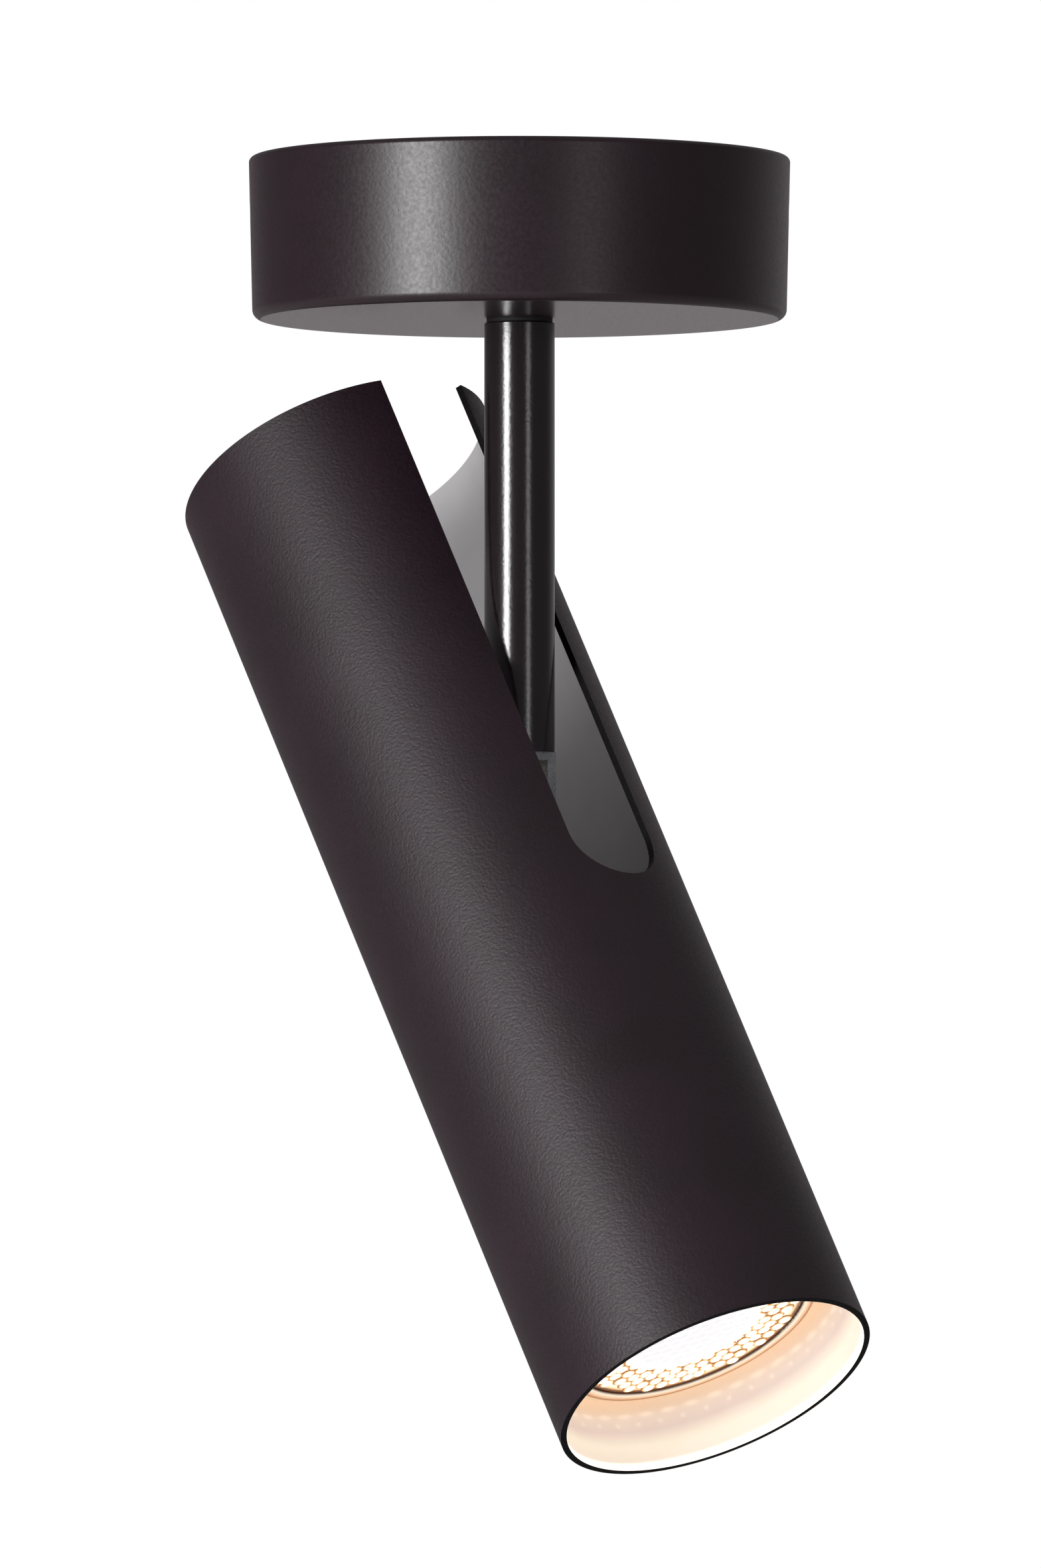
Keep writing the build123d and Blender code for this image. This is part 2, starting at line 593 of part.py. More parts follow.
def make_carriage():
    """Pressed cup that closes the tube: the disc carries the lug above and the lampholder below."""
    skirt_bore = CARRIAGE_D - 2 * CARRIAGE_T
    cup = rod(CARRIAGE_D, DISC_LOW, SKIRT_TOP) - rod(skirt_bore, DISC_TOP, SKIRT_TOP)
    cup -= carriage_screw_set(rod(M3_D + 2 * THREAD_GAP, 0, TUBE_D))
    screw_hole = rod(M3_D + 2 * SCREW_HOLE_GAP, DISC_LOW, DISC_TOP)
    for x, y in HOLDER_SCREWS + FOOT_SCREWS:
        cup -= Pos(x, y, 0) * screw_hole
    cup -= Pos(HEAD_TAG_X, HEAD_TAG_Y, 0) * rod(M3_D + 2 * THREAD_GAP, DISC_LOW, DISC_TOP)
    return cup - Pos(GROMMET_X, 0, 0) * rod(GROMMET_D + 2 * CRIMP_GAP, DISC_LOW, DISC_TOP)


def make_hinge_lug():
    """Plate between the fork's cheeks on a foot that is screwed to the carriage."""
    lug = block((-HINGE_W / 2, HINGE_W / 2), (-HINGE_T / 2, HINGE_T / 2), (DISC_TOP, 0))
    lug += ALONG_Y * rod(HINGE_W, -HINGE_T / 2, HINGE_T / 2)
    lug += block((-FOOT_L / 2, FOOT_L / 2), (-FOOT_W / 2, FOOT_W / 2), (DISC_TOP, DISC_TOP + FOOT_T))
    lug -= ALONG_Y * rod(PIVOT_D + 2 * PIVOT_RUNNING_GAP, -HINGE_T, HINGE_T)
    for x, y in FOOT_SCREWS:
        lug -= Pos(x, y, 0) * rod(M3_D + 2 * THREAD_GAP, DISC_TOP, DISC_TOP + FOOT_T)
    return lug


def make_lug_screws():
    """From below the carriage into the lug's foot."""
    bolt = screw(M3_D, CARRIAGE_T + FOOT_T, M3_HEAD_D, M3_HEAD_H)
    return Compound([Pos(x, y, DISC_LOW) * bolt for x, y in FOOT_SCREWS])


def make_lead_grommet():
    """Rubber grommet that guards the leads in the carriage."""
    body = rod(GROMMET_D, DISC_LOW, DISC_TOP)
    body += rod(GROMMET_FLANGE_D, DISC_TOP, DISC_TOP + GROMMET_FLANGE_T)
    body += rod(GROMMET_FLANGE_D, DISC_LOW - GROMMET_FLANGE_T, DISC_LOW)
    low = DISC_LOW - GROMMET_FLANGE_T
    high = DISC_TOP + GROMMET_FLANGE_T
    return Pos(GROMMET_X, 0, 0) * (body - rod(GROMMET_BORE, low, high))


def make_head_earth_tag():
    """Ring tag on the carriage, its barrel towards the pivot's side."""
    tag = ring_tag(HEAD_TAG_RING_D, M3_D + 2 * SCREW_HOLE_GAP, HEAD_LEAD_D + 2 * CRIMP_GAP)
    return Pos(HEAD_TAG_X, HEAD_TAG_Y, DISC_TOP) * Rot(0, 0, 90) * Rot(180, 0, 0) * tag


def make_head_earth_screw():
    """Clamps the earth tag to the carriage."""
    bolt = Rot(180, 0, 0) * screw(M3_D, LUG_T + CARRIAGE_T, M3_HEAD_D, M3_HEAD_H)
    return Pos(HEAD_TAG_X, HEAD_TAG_Y, DISC_TOP + LUG_T) * bolt


def arm_point(x, y, drop):
    """Point given in the stem's own frame, above the pivot by drop, as seen from the tilted head."""
    tilt = math.radians(REST_TILT)
    return (x * math.cos(tilt) + drop * math.sin(tilt), y, drop * math.cos(tilt) - x * math.sin(tilt))


def make_lampholder_leads():
    """Leads from the fork, behind the lug, to the lampholder and the earth tag."""
    above = CABLE_END - CABLE_END_GAP - PIVOT_Z
    leave_x, leave_drop = FORK_LEAVE
    inside_cap = SOCKET_TOP + CAP_H / 4
    wires = []
    for side in (-1, 1):
        y = side * HEAD_LEAD_PITCH
        route = [arm_point(0, y, above), arm_point(leave_x, y, above - leave_drop)]
        route += [(x, side * out, z) for x, out, z in LIVE_WAY]
        route += [(GROMMET_X, side * LIVE_WAY[-1][1], DISC_LOW - GROMMET_DROP)]
        route += [(LEAD_HOLE_X, side * LEAD_HOLE_Y, CAP_TOP + HOLDER_RISE)]
        route += [(LEAD_HOLE_X, side * LEAD_HOLE_Y, inside_cap)]
        wires.append(lead(route, HEAD_LEAD_D))
    barrel_z = DISC_TOP + LUG_BARREL_D / 2
    mouth = HEAD_TAG_Y + HEAD_TAG_RING_D / 2 + LUG_NECK_L + LUG_BARREL_L
    route = [arm_point(0, 0, above), arm_point(leave_x, 0, above - leave_drop), *EARTH_WAY]
    route += [(HEAD_TAG_X, mouth + HEAD_EARTH_STRAIGHT, barrel_z)]
    route += [(HEAD_TAG_X, mouth - LUG_BARREL_L / 2, barrel_z)]
    wires.append(lead(route, HEAD_LEAD_D))
    return Compound(wires)


def at_holder_screws(shape):
    """Two copies of a piece, one at each lampholder screw."""
    return Compound([Pos(x, y, 0) * shape for x, y in HOLDER_SCREWS])


def make_holder_screws():
    """Long screws from the socket's face up to the nuts on the carriage."""
    head_seat = SOCKET_LOW + COUNTERBORE
    length = DISC_TOP + M3_NUT_H + PIVOT_PROUD - head_seat
    return at_holder_screws(Pos(0, 0, head_seat) * screw(M3_D, length, M3_HEAD_D, M3_HEAD_H))


def make_holder_nuts():
    """On top of the carriage."""
    nut = hexagon(M3_NUT_AF, DISC_TOP, DISC_TOP + M3_NUT_H)
    return at_holder_screws(nut - rod(M3_D + 2 * THREAD_GAP, DISC_TOP, DISC_TOP + M3_NUT_H))


def make_holder_spacers():
    """Sleeves between the carriage and the lampholder."""
    return at_holder_screws(pipe(SPACER_D, M3_D + 2 * SCREW_HOLE_GAP, CAP_TOP, DISC_LOW))


def holder_disc(low, high, edge_height):
    """Round ceramic block with its two screw holes, rounded at one end."""
    body = rod(HOLDER_D, low, high)
    edges = [edge for edge in body.edges().filter_by(GeomType.CIRCLE)]
    body = fillet(min(edges, key=lambda edge: abs(edge.center().Z - edge_height)), HOLDER_EDGE_R)
    return body - at_holder_screws(rod(M3_D + 2 * SCREW_HOLE_GAP, low, high))


def make_lampholder_cap():
    """Back half of the holder: wire holes in its roof, a chamber for the contacts under it."""
    cap = holder_disc(SOCKET_TOP, CAP_TOP, CAP_TOP)
    half = (-CHAMBER_L / 2, CHAMBER_L / 2)
    cap -= block(half, (-CHAMBER_W / 2, CHAMBER_W / 2), (SOCKET_TOP, CAP_TOP - CAP_ROOF))
    for side in (-1, 1):
        cap -= Pos(LEAD_HOLE_X, side * LEAD_HOLE_Y, 0) * rod(LEAD_HOLE_D, SOCKET_TOP, CAP_TOP)
    return cap


def twist_slot(width, low, high):
    """Two arc slots round the axis that the bulb's pins turn in."""
    arc = CenterArc((0, 0), PIN_PITCH / 2, -TWIST, TWIST)
    slot = Pos(0, 0, low) * extrude(SlotArc(arc, width), high - low)
    return slot + Rot(0, 0, 180) * slot


def make_lampholder_body():
    """Front half of the holder: keyhole slots in its lip, pin pockets behind."""
    body = holder_disc(SOCKET_LOW, SOCKET_TOP, SOCKET_LOW)
    head_way = PIN_HEAD_D + 2 * PIN_SIDE_GAP
    lip_top = SOCKET_LOW + SOCKET_LIP
    body -= twist_slot(head_way, lip_top, SOCKET_TOP)
    body -= twist_slot(PIN_NECK_D + 2 * PIN_SIDE_GAP, SOCKET_LOW, lip_top)
    for turn in (0, 180):
        body -= Rot(0, 0, turn - TWIST) * Pos(PIN_PITCH / 2, 0, 0) * rod(head_way, SOCKET_LOW, lip_top)
    seat = rod(M3_HEAD_D + 2 * SCREW_HOLE_GAP, SOCKET_LOW, SOCKET_LOW + COUNTERBORE)
    return body - at_holder_screws(seat)


PIN_TIP = SOCKET_LOW + SOCKET_LIP + PIN_LIP_GAP + PIN_HEAD_H


def make_lampholder_contacts():
    """Two contact strips on the socket, each with a leaf down to its pin and a barrel for its lead."""
    strips = []
    for side in (-1, 1):
        near = side * CONTACT_MID_GAP / 2
        far = near + side * CONTACT_W
        ends = (-CHAMBER_L / 2 + SCREW_HOLE_GAP, -side * PIN_PITCH / 2 + CONTACT_LEAF_T)
        strip_top = SOCKET_TOP + CONTACT_T
        strip = block(ends, (min(near, far), max(near, far)), (SOCKET_TOP, strip_top))
        leaf_x = (-side * PIN_PITCH / 2 - CONTACT_LEAF_T / 2, -side * PIN_PITCH / 2 + CONTACT_LEAF_T / 2)
        leaf_y = sorted((near, near + side * CONTACT_LEAF_T))
        strip += block(leaf_x, leaf_y, (PIN_TIP + CONTACT_PIN_GAP, strip_top))
        strips.append(strip.solid())
    return Compound(strips)


# Twist-lock bulb, in the same frame as the head


def make_bulb_base():
    """White neck of the bulb, open towards the dish, with the pins' two seats."""
    cavity = BASE_D - 2 * BASE_WALL
    return rod(BASE_D, BASE_LOW, BULB_TOP) - rod(cavity, BASE_LOW, BULB_TOP - BASE_WALL)


def make_bulb_pins():
    """Headed contact pins."""
    head_low = PIN_TIP - PIN_HEAD_H
    pin = rod(PIN_NECK_D, BULB_TOP, head_low) + rod(PIN_HEAD_D, head_low, PIN_TIP)
    return Compound([Pos(x, 0, 0) * pin for x in (-PIN_PITCH / 2, PIN_PITCH / 2)])


NECK_D = BASE_D - 2 * BASE_WALL - 2 * LENS_GAP
NECK_BORE = NECK_D - 2 * NECK_WALL
LED_TOP = BASE_LOW + NECK_L - NECK_WALL
LENS_FRONT = BULB_FRONT + LENS_RECESS


def make_bulb_reflector():
    """Dish from the neck to the rim, with a ledge that the front glass sits on."""
    rim = BULB_D / 2
    rim_top = BULB_FRONT + RIM_H
    ledge = LENS_FRONT + LENS_T + LENS_GAP
    lens_seat = rim - RIM_W
    throat = NECK_BORE / 2
    dish_from = (lens_seat - LENS_LEDGE, ledge)
    neck = BASE_D / 2
    outer_sag = (neck + (rim - neck) * DISH_SAG_OUT, BASE_LOW + (rim_top - BASE_LOW) * DISH_SAG_DOWN)
    inner_out = throat + (dish_from[0] - throat) * DISH_SAG_OUT
    inner_sag = (inner_out, BASE_LOW + (ledge - BASE_LOW) * DISH_SAG_DOWN)
    line = Polyline((throat, BASE_LOW), (throat, BASE_LOW + NECK_L), (NECK_D / 2, BASE_LOW + NECK_L))
    line += Polyline((NECK_D / 2, BASE_LOW + NECK_L), (NECK_D / 2, BASE_LOW), (BASE_D / 2, BASE_LOW))
    line += ThreePointArc((BASE_D / 2, BASE_LOW), outer_sag, (rim, rim_top))
    line += Polyline((rim, rim_top), (rim, BULB_FRONT), (lens_seat, BULB_FRONT), (lens_seat, ledge), dish_from)
    line += ThreePointArc(dish_from, inner_sag, (throat, BASE_LOW))
    outline = rounded(make_face(line), (rim, BULB_FRONT), RIM_EDGE_R)
    return turned(rounded(outline, (lens_seat, BULB_FRONT), RIM_EDGE_R))


def make_bulb_lens():
    """Front glass."""
    return rod(BULB_D - 2 * RIM_W - 2 * LENS_GAP, LENS_FRONT, LENS_FRONT + LENS_T)


def make_bulb_led():
    """Light source on its round board, in the dish's neck."""
    board = rod(NECK_BORE - 2 * LED_GAP, LED_TOP - LED_T, LED_TOP)
    return board + rod(LED_CHIP_D, LED_TOP - LED_T - LED_CHIP_H, LED_TOP - LED_T)


def make_bulb_driver():
    """Driver board that stands between the light source and the pins."""
    high = BULB_TOP - BASE_WALL - LED_GAP
    width = NECK_BORE - 2 * DRIVER_GAP
    board = block((-width / 2, width / 2), (-DRIVER_T / 2, DRIVER_T / 2), (LED_TOP + LED_GAP, high))
    middle = (LED_TOP + high) / 2
    capacitor = Pos(0, 0, middle) * ALONG_Y * rod(width / 3, 0, width / 3)
    return board + capacitor


# Every piece at its place in the rest pose

ARM = Rot(0, 0, REST_PAN)
HEAD = Pos(0, 0, PIVOT_Z) * Rot(0, 0, REST_PAN) * Rot(0, -REST_TILT, 0)

base = {
    "canopy": make_canopy(),
    "ceiling_bracket": make_ceiling_bracket(),
    "canopy_screws": make_canopy_screws(),
    "terminal_block": make_terminal_block(),
    "terminal_inserts": make_terminal_inserts(),
    "terminal_screws": make_terminal_screws(),
    "terminal_block_screw": make_terminal_block_screw(),
    "earth_lug": make_earth_lug(),
    "earth_screw": make_earth_screw(),
    "canopy_leads": make_canopy_leads(),
    "swivel_stop_stud": make_swivel_stop_stud(),
}
nipple_hole = NIPPLE_D + 2 * THREAD_GAP
arm = {
    "stem": make_stem(),
    "swivel_washer": pipe(SWIVEL_WASHER_D, nipple_hole, STEM_TOP, -CANOPY_H),
    "stem_nipple": pipe(NIPPLE_D, NIPPLE_BORE, STEM_TOP - THREAD_L, NIPPLE_TOP),
    "bearing_washer": pipe(BEARING_D, nipple_hole, FLOOR_TOP, STOP_LOW),
    "stop_washer": make_stop_washer(),
    "disc_spring": make_disc_spring(),
    "swivel_nut": hexagon(SWIVEL_NUT_AF, SWIVEL_NUT_LOW, SWIVEL_NUT_LOW + SWIVEL_NUT_H)
    - rod(nipple_hole, SWIVEL_NUT_LOW, SWIVEL_NUT_LOW + SWIVEL_NUT_H),
    "stem_cable": rod(CABLE_D, CABLE_END, CABLE_TOP),
    "stem_fork": make_stem_fork(),
    "pivot_bolt": make_pivot_bolt(),
    "pivot_nut": make_pivot_nut(),
    "pivot_washers": make_pivot_washers(),
    "friction_washers": make_friction_washers(),
}
head = {
    "lamp_tube": make_lamp_tube(),
    "carriage": make_carriage(),
    "carriage_screws": make_carriage_screws(),
    "hinge_lug": make_hinge_lug(),
    "lug_screws": make_lug_screws(),
    "lead_grommet": make_lead_grommet(),
    "lampholder_leads": make_lampholder_leads(),
    "head_earth_tag": make_head_earth_tag(),
    "head_earth_screw": make_head_earth_screw(),
    "holder_spacers": make_holder_spacers(),
    "holder_screws": make_holder_screws(),
    "holder_nuts": make_holder_nuts(),
    "lampholder_cap": make_lampholder_cap(),
    "lampholder_body": make_lampholder_body(),
    "lampholder_contacts": make_lampholder_contacts(),
}
bulb = {
    "bulb_base": make_bulb_base(),
    "bulb_pins": make_bulb_pins(),
    "bulb_driver": make_bulb_driver(),
    "bulb_reflector": make_bulb_reflector(),
    "bulb_led": make_bulb_led(),
    "bulb_lens": make_bulb_lens(),
}

os.makedirs("parts", exist_ok=True)
for place, pieces in ((Pos(0, 0, 0), base), (ARM, arm), (HEAD, {**head, **bulb})):
    for name, piece in pieces.items():
        export_step(place * piece, f"parts/{name}.step")
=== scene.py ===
import json
import math

import bmesh
import bpy
from mathutils import Matrix, Vector


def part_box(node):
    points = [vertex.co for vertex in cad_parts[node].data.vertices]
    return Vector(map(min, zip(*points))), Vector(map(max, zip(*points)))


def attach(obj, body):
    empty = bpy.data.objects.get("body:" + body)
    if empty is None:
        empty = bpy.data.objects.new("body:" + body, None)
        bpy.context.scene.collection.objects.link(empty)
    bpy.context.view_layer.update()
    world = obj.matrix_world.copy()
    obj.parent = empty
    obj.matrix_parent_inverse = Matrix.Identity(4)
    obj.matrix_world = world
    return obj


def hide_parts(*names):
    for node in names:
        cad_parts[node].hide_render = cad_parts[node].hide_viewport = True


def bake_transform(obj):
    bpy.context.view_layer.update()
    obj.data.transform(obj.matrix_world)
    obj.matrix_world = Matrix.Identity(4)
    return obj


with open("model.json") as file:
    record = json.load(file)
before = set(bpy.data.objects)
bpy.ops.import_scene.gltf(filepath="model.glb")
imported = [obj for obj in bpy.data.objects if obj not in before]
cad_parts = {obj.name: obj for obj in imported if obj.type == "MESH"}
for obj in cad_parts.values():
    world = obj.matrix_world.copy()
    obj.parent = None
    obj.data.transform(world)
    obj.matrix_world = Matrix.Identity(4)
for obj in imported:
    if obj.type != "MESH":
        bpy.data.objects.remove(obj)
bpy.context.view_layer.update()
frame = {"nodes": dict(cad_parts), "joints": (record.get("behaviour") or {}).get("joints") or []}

# Canopy: a cup deep-drawn from steel sheet, open towards the ceiling, baked with black powder coat.
# Two grub screws in its sides hang it on the bracket, and the stem turns in the hole in its floor.
# Up to the stage, sizes are millimetres, and become metres where a mesh or a node takes them.
MM = 0.001
CANOPY_RIM_R = 50.0
CANOPY_FLOOR_R = 49.3
CANOPY_H = 30.0
CANOPY_WALL = 1.2
CANOPY_CORNER_R = 1.8
CANOPY_RIM_EDGE_R = 1.0
CANOPY_HOLE_R = 5.2
CANOPY_HOLE_EDGE_R = 0.3
GRUB_HOLE_R = 2.15
GRUB_HOLE_SIDES = 32
GRUB_DROP = 10.0
ROUND_STEPS = 224
CORNER_STEPS = 8
CANOPY_BLACKS = ("#1a0e14", "#21121a")
UNDERSIDE = 1  # the canopy's second finish
FACES_DOWN = -0.98  # the flat underside's normals point down at least this much
CLOUD_BAND = (0.3, 0.7)
COAT_CLOUD = 18.0
COAT_GRAIN_DEPTH = 0.1
COAT_UNEVEN = 0.3
POLYMER_IOR = 1.5


def linear(code):
    """Linear RGBA of an sRGB hex colour."""
    shares = [int(code[i : i + 2], 16) / 255 for i in (1, 3, 5)]
    return [s / 12.92 if s <= 0.04045 else ((s + 0.055) / 1.055) ** 2.4 for s in shares] + [1.0]


def add(tree, kind, links=None, stops=None, **settings):
    """Adds a node. A link is (node, output) or a plain value; stops are a ramp's (place, hex colour)."""
    node = tree.nodes.new(kind)
    for key, value in settings.items():
        setattr(node, key, value)
    for socket, value in (links or {}).items():
        if isinstance(value, tuple) and isinstance(value[0], bpy.types.Node):
            tree.links.new(value[0].outputs[value[1]], node.inputs[socket])
        else:
            node.inputs[socket].default_value = value
    for i, (place, code) in enumerate(stops or []):
        band = node.color_ramp.elements
        element = band[i] if i < len(band) else band.new(place)
        element.position = place
        element.color = linear(code)
    return node


def blank_material(name):
    """New material's empty tree, with the coordinates that its pattern is laid on."""
    material = bpy.data.materials.new(name)
    material.use_nodes = True
    tree = material.node_tree
    tree.nodes.clear()
    return material, tree, add(tree, "ShaderNodeTexCoord")


def grained(tree, place, tones, cloud, grain, matt, relief, depth):
    """Shader inputs of a clouded colour with a fine grain, which varies the roughness and dents the skin.
    Cloud and grain are (size, detail), matt is (least, most) roughness, depth is the grain's height."""
    spot = {"Vector": (place, "Object")}
    clouds = add(tree, "ShaderNodeTexNoise", {**spot, "Scale": 1 / (cloud[0] * MM), "Detail": cloud[1]})
    tone = add(tree, "ShaderNodeValToRGB", {"Fac": (clouds, "Fac")}, list(zip(CLOUD_BAND, tones)))
    grains = add(tree, "ShaderNodeTexNoise", {**spot, "Scale": 1 / (grain[0] * MM), "Detail": grain[1]})
    reach = {"Value": (grains, "Fac"), "To Min": matt[0], "To Max": matt[1]}
    rough = add(tree, "ShaderNodeMapRange", reach)
    bumps = {"Height": (grains, "Fac"), "Strength": relief, "Distance": depth * MM}
    dent = add(tree, "ShaderNodeBump", bumps)
    return {"Base Color": (tone, "Color"), "Roughness": (rough, "Result"), "Normal": (dent, "Normal")}


def powder_coat(name, tones, roughness, grit, relief, ior=POLYMER_IOR):
    """Polyester powder melted on steel: near black, slightly warm, with the fine pebbling of its grains.
    The grains are drawn a few times coarser than real, so that they show as a leathery sheen."""
    material, tree, place = blank_material(name)
    matt = (roughness * (1 - COAT_UNEVEN), roughness * (1 + COAT_UNEVEN))
    surface = grained(tree, place, tones, (COAT_CLOUD, 2.0), (grit, 4.0), matt, relief, COAT_GRAIN_DEPTH)
    shader = add(tree, "ShaderNodeBsdfPrincipled", {**surface, "IOR": ior})
    add(tree, "ShaderNodeOutputMaterial", {"Surface": (shader, "BSDF")})
    return material


def new_piece(name, fill, materials):
    """Object whose mesh is filled by a function that works on a bmesh."""
    mesh = bpy.data.meshes.new(name)
    work = bmesh.new()
    fill(work)
    bmesh.ops.recalc_face_normals(work, faces=work.faces)
    for face in work.faces:
        face.smooth = True
    work.to_mesh(mesh)
    work.free()
    for material in materials:
        mesh.materials.append(material)
    piece = bpy.data.objects.new(name, mesh)
    bpy.context.scene.collection.objects.link(piece)
    return piece


def bake(piece):
    """Turns a piece with modifiers into a plain mesh."""
    seen = piece.evaluated_get(bpy.context.evaluated_depsgraph_get())
    mesh = bpy.data.meshes.new_from_object(seen)
    piece.modifiers.clear()
    piece.data = mesh
    return piece


def rounded_outline(corners):
    """Outline of (radius, height, corner radius) with each corner turned into an arc."""
    outline = []
    for i, (x, y, r) in enumerate(corners):
        here = Vector((x, y))
        if not r:
            outline.append(here)
            continue
        back = (Vector(corners[i - 1][:2]) - here).normalized()
        onward = (Vector(corners[(i + 1) % len(corners)][:2]) - here).normalized()
        half = back.angle(onward) / 2
        middle = here + (back + onward).normalized() * r / math.sin(half)
        first = here + back * r / math.tan(half) - middle
        last = here + onward * r / math.tan(half) - middle
        for step in range(CORNER_STEPS + 1):
            outline.append(middle + first.lerp(last, step / CORNER_STEPS).normalized() * r)
    return outline


def turn_outline(work, outline, place, steps, closed):
    """Rings of points about Z from an outline of (radius, height), with bands of faces between them."""
    rings = []
    for radius, height in outline:
        ways = [2 * math.pi * i / steps for i in range(steps)]
        spots = [Vector((radius * math.cos(a), radius * math.sin(a), height)) * MM for a in ways]
        rings.append([work.verts.new(place @ spot) for spot in spots])
    for ring, other in zip(rings, rings[1:] + (rings[:1] if closed else [])):
        for i in range(steps):
            k = (i + 1) % steps
            work.faces.new((ring[i], ring[k], other[k], other[i]))
    return rings


def turned_piece(name, outline, material, steps=ROUND_STEPS):
    """Closed ring of revolution about Z from an outline of (radius, height)."""

    def fill(work):
        turn_outline(work, outline, Matrix.Identity(4), steps, closed=True)

    piece = new_piece(name, fill, [material])
    piece.modifiers.new("even shading", "WEIGHTED_NORMAL").keep_sharp = True
    return piece


def fill_side_drill(work):
    """Round bar along X, used to cut both grub screw holes."""
    turn = Matrix.Translation((0, 0, -GRUB_DROP * MM)) @ Matrix.Rotation(math.pi / 2, 4, "Y")
    reach = 3 * CANOPY_RIM_R * MM
    bar = {"radius1": GRUB_HOLE_R * MM, "radius2": GRUB_HOLE_R * MM, "depth": reach}
    bmesh.ops.create_cone(work, cap_ends=True, segments=GRUB_HOLE_SIDES, matrix=turn, **bar)


# A broad, soft highlight runs down the wall; the flat underside is smoother and dimly mirrors the stem.
satin_black = powder_coat("satin_black_powder_coat", CANOPY_BLACKS, roughness=0.37, grit=0.7, relief=0.3)
smooth_black = powder_coat("smooth_black_powder_coat", CANOPY_BLACKS, roughness=0.22, grit=0.7, relief=0.1)
canopy_outline = rounded_outline(
    [
        (CANOPY_HOLE_R, -CANOPY_H, CANOPY_HOLE_EDGE_R),
        (CANOPY_FLOOR_R, -CANOPY_H, CANOPY_CORNER_R),
        (CANOPY_RIM_R, 0, CANOPY_RIM_EDGE_R),
        (CANOPY_RIM_R - CANOPY_WALL, 0, CANOPY_WALL - CANOPY_RIM_EDGE_R),
        (CANOPY_FLOOR_R - CANOPY_WALL, -CANOPY_H + CANOPY_WALL, CANOPY_CORNER_R - CANOPY_WALL),
        (CANOPY_HOLE_R, -CANOPY_H + CANOPY_WALL, CANOPY_HOLE_EDGE_R),
    ]
)
canopy = turned_piece("canopy_cup", canopy_outline, satin_black)
side_drill = new_piece("side_drill", fill_side_drill, [satin_black])
side_cut = canopy.modifiers.new("grub holes", "BOOLEAN")
side_cut.object = side_drill
side_cut.solver = "EXACT"
canopy.modifiers.move(1, 0)  # the holes are cut before the shading is evened
bake(canopy)
bpy.data.objects.remove(side_drill)
canopy.data.materials.append(smooth_black)
for face in canopy.data.polygons:
    if face.normal.z < FACES_DOWN and face.center.z < (CANOPY_CORNER_R - CANOPY_H) * MM:
        face.material_index = UNDERSIDE
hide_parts("canopy")
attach(canopy, "base")

# Ceiling bracket, stop stud and small screws: dull galvanised strip, and wire and screws in bright zinc.
# The strap is screwed to the ceiling, and the grub screws in its tabs carry the canopy.
METAL_CLOUD = 6.0
METAL_MARK_DEPTH = 0.03
METAL_RELIEF = 0.06
METAL_UNEVEN = 0.08


def dress(material, *nodes):
    """Gives CAD nodes a finish in place of their plain one."""
    for name in nodes:
        finishes = frame["nodes"][name].data.materials
        finishes.clear()
        finishes.append(material)


def bright_metal(name, tones, roughness, drag):
    """Plated or turned metal: bright, faintly clouded, with fine marks of drawing or turning.
    The marks are drawn coarser than real, so that they can show."""
    material, tree, place = blank_material(name)
    matt = (roughness - METAL_UNEVEN, roughness + METAL_UNEVEN)
    clouds, marks = (METAL_CLOUD, 3.0), (drag, 2.0)
    surface = grained(tree, place, tones, clouds, marks, matt, METAL_RELIEF, METAL_MARK_DEPTH)
    shader = add(tree, "ShaderNodeBsdfPrincipled", {**surface, "Metallic": 1.0})
    add(tree, "ShaderNodeOutputMaterial", {"Surface": (shader, "BSDF")})
    return material


# Zinc fresh from the bath is pale silver with soft reflections; galvanised strip is grey, cloudy and dull.
zinc_plate = bright_metal("bright_zinc_plate", ("#a9adb2", "#d8dbde"), roughness=0.28, drag=0.4)
galvanised = bright_metal("dull_galvanised_strip", ("#5d6165", "#7b7f83"), roughness=0.62, drag=0.4)
dress(galvanised, "ceiling_bracket")
dress(zinc_plate, "swivel_stop_stud", "terminal_screws", "terminal_block_screw")

# Black oxide leaves a screw dark with a thin oily sheen, like a very smooth coat.
SCREW_BLACKS = ("#141113", "#1b1719")
screw_black = powder_coat("black_oxide_on_screws", SCREW_BLACKS, roughness=0.42, grit=0.4, relief=0.08)
dress(screw_black, "canopy_screws")

# Supply terminal and earth tag: moulded nylon block with brass sleeves, tag of tinned copper sheet.
# Block and tag hang under the bracket on one screw each.
MOULD_CLOUD = 5.0
MOULD_GRAIN_DEPTH = 0.02
MOULD_UNEVEN = 0.06


def moulded(name, tones, roughness, grit=0.3, relief=0.08):
    """Plastic, rubber, fibre or fired ceramic: even colour, slight clouding, fine grain of mould or die."""
    material, tree, place = blank_material(name)
    matt = (roughness - MOULD_UNEVEN, roughness + MOULD_UNEVEN)
    surface = grained(tree, place, tones, (MOULD_CLOUD, 3.0), (grit, 2.0), matt, relief, MOULD_GRAIN_DEPTH)
    shader = add(tree, "ShaderNodeBsdfPrincipled", {**surface, "IOR": POLYMER_IOR})
    add(tree, "ShaderNodeOutputMaterial", {"Surface": (shader, "BSDF")})
    return material


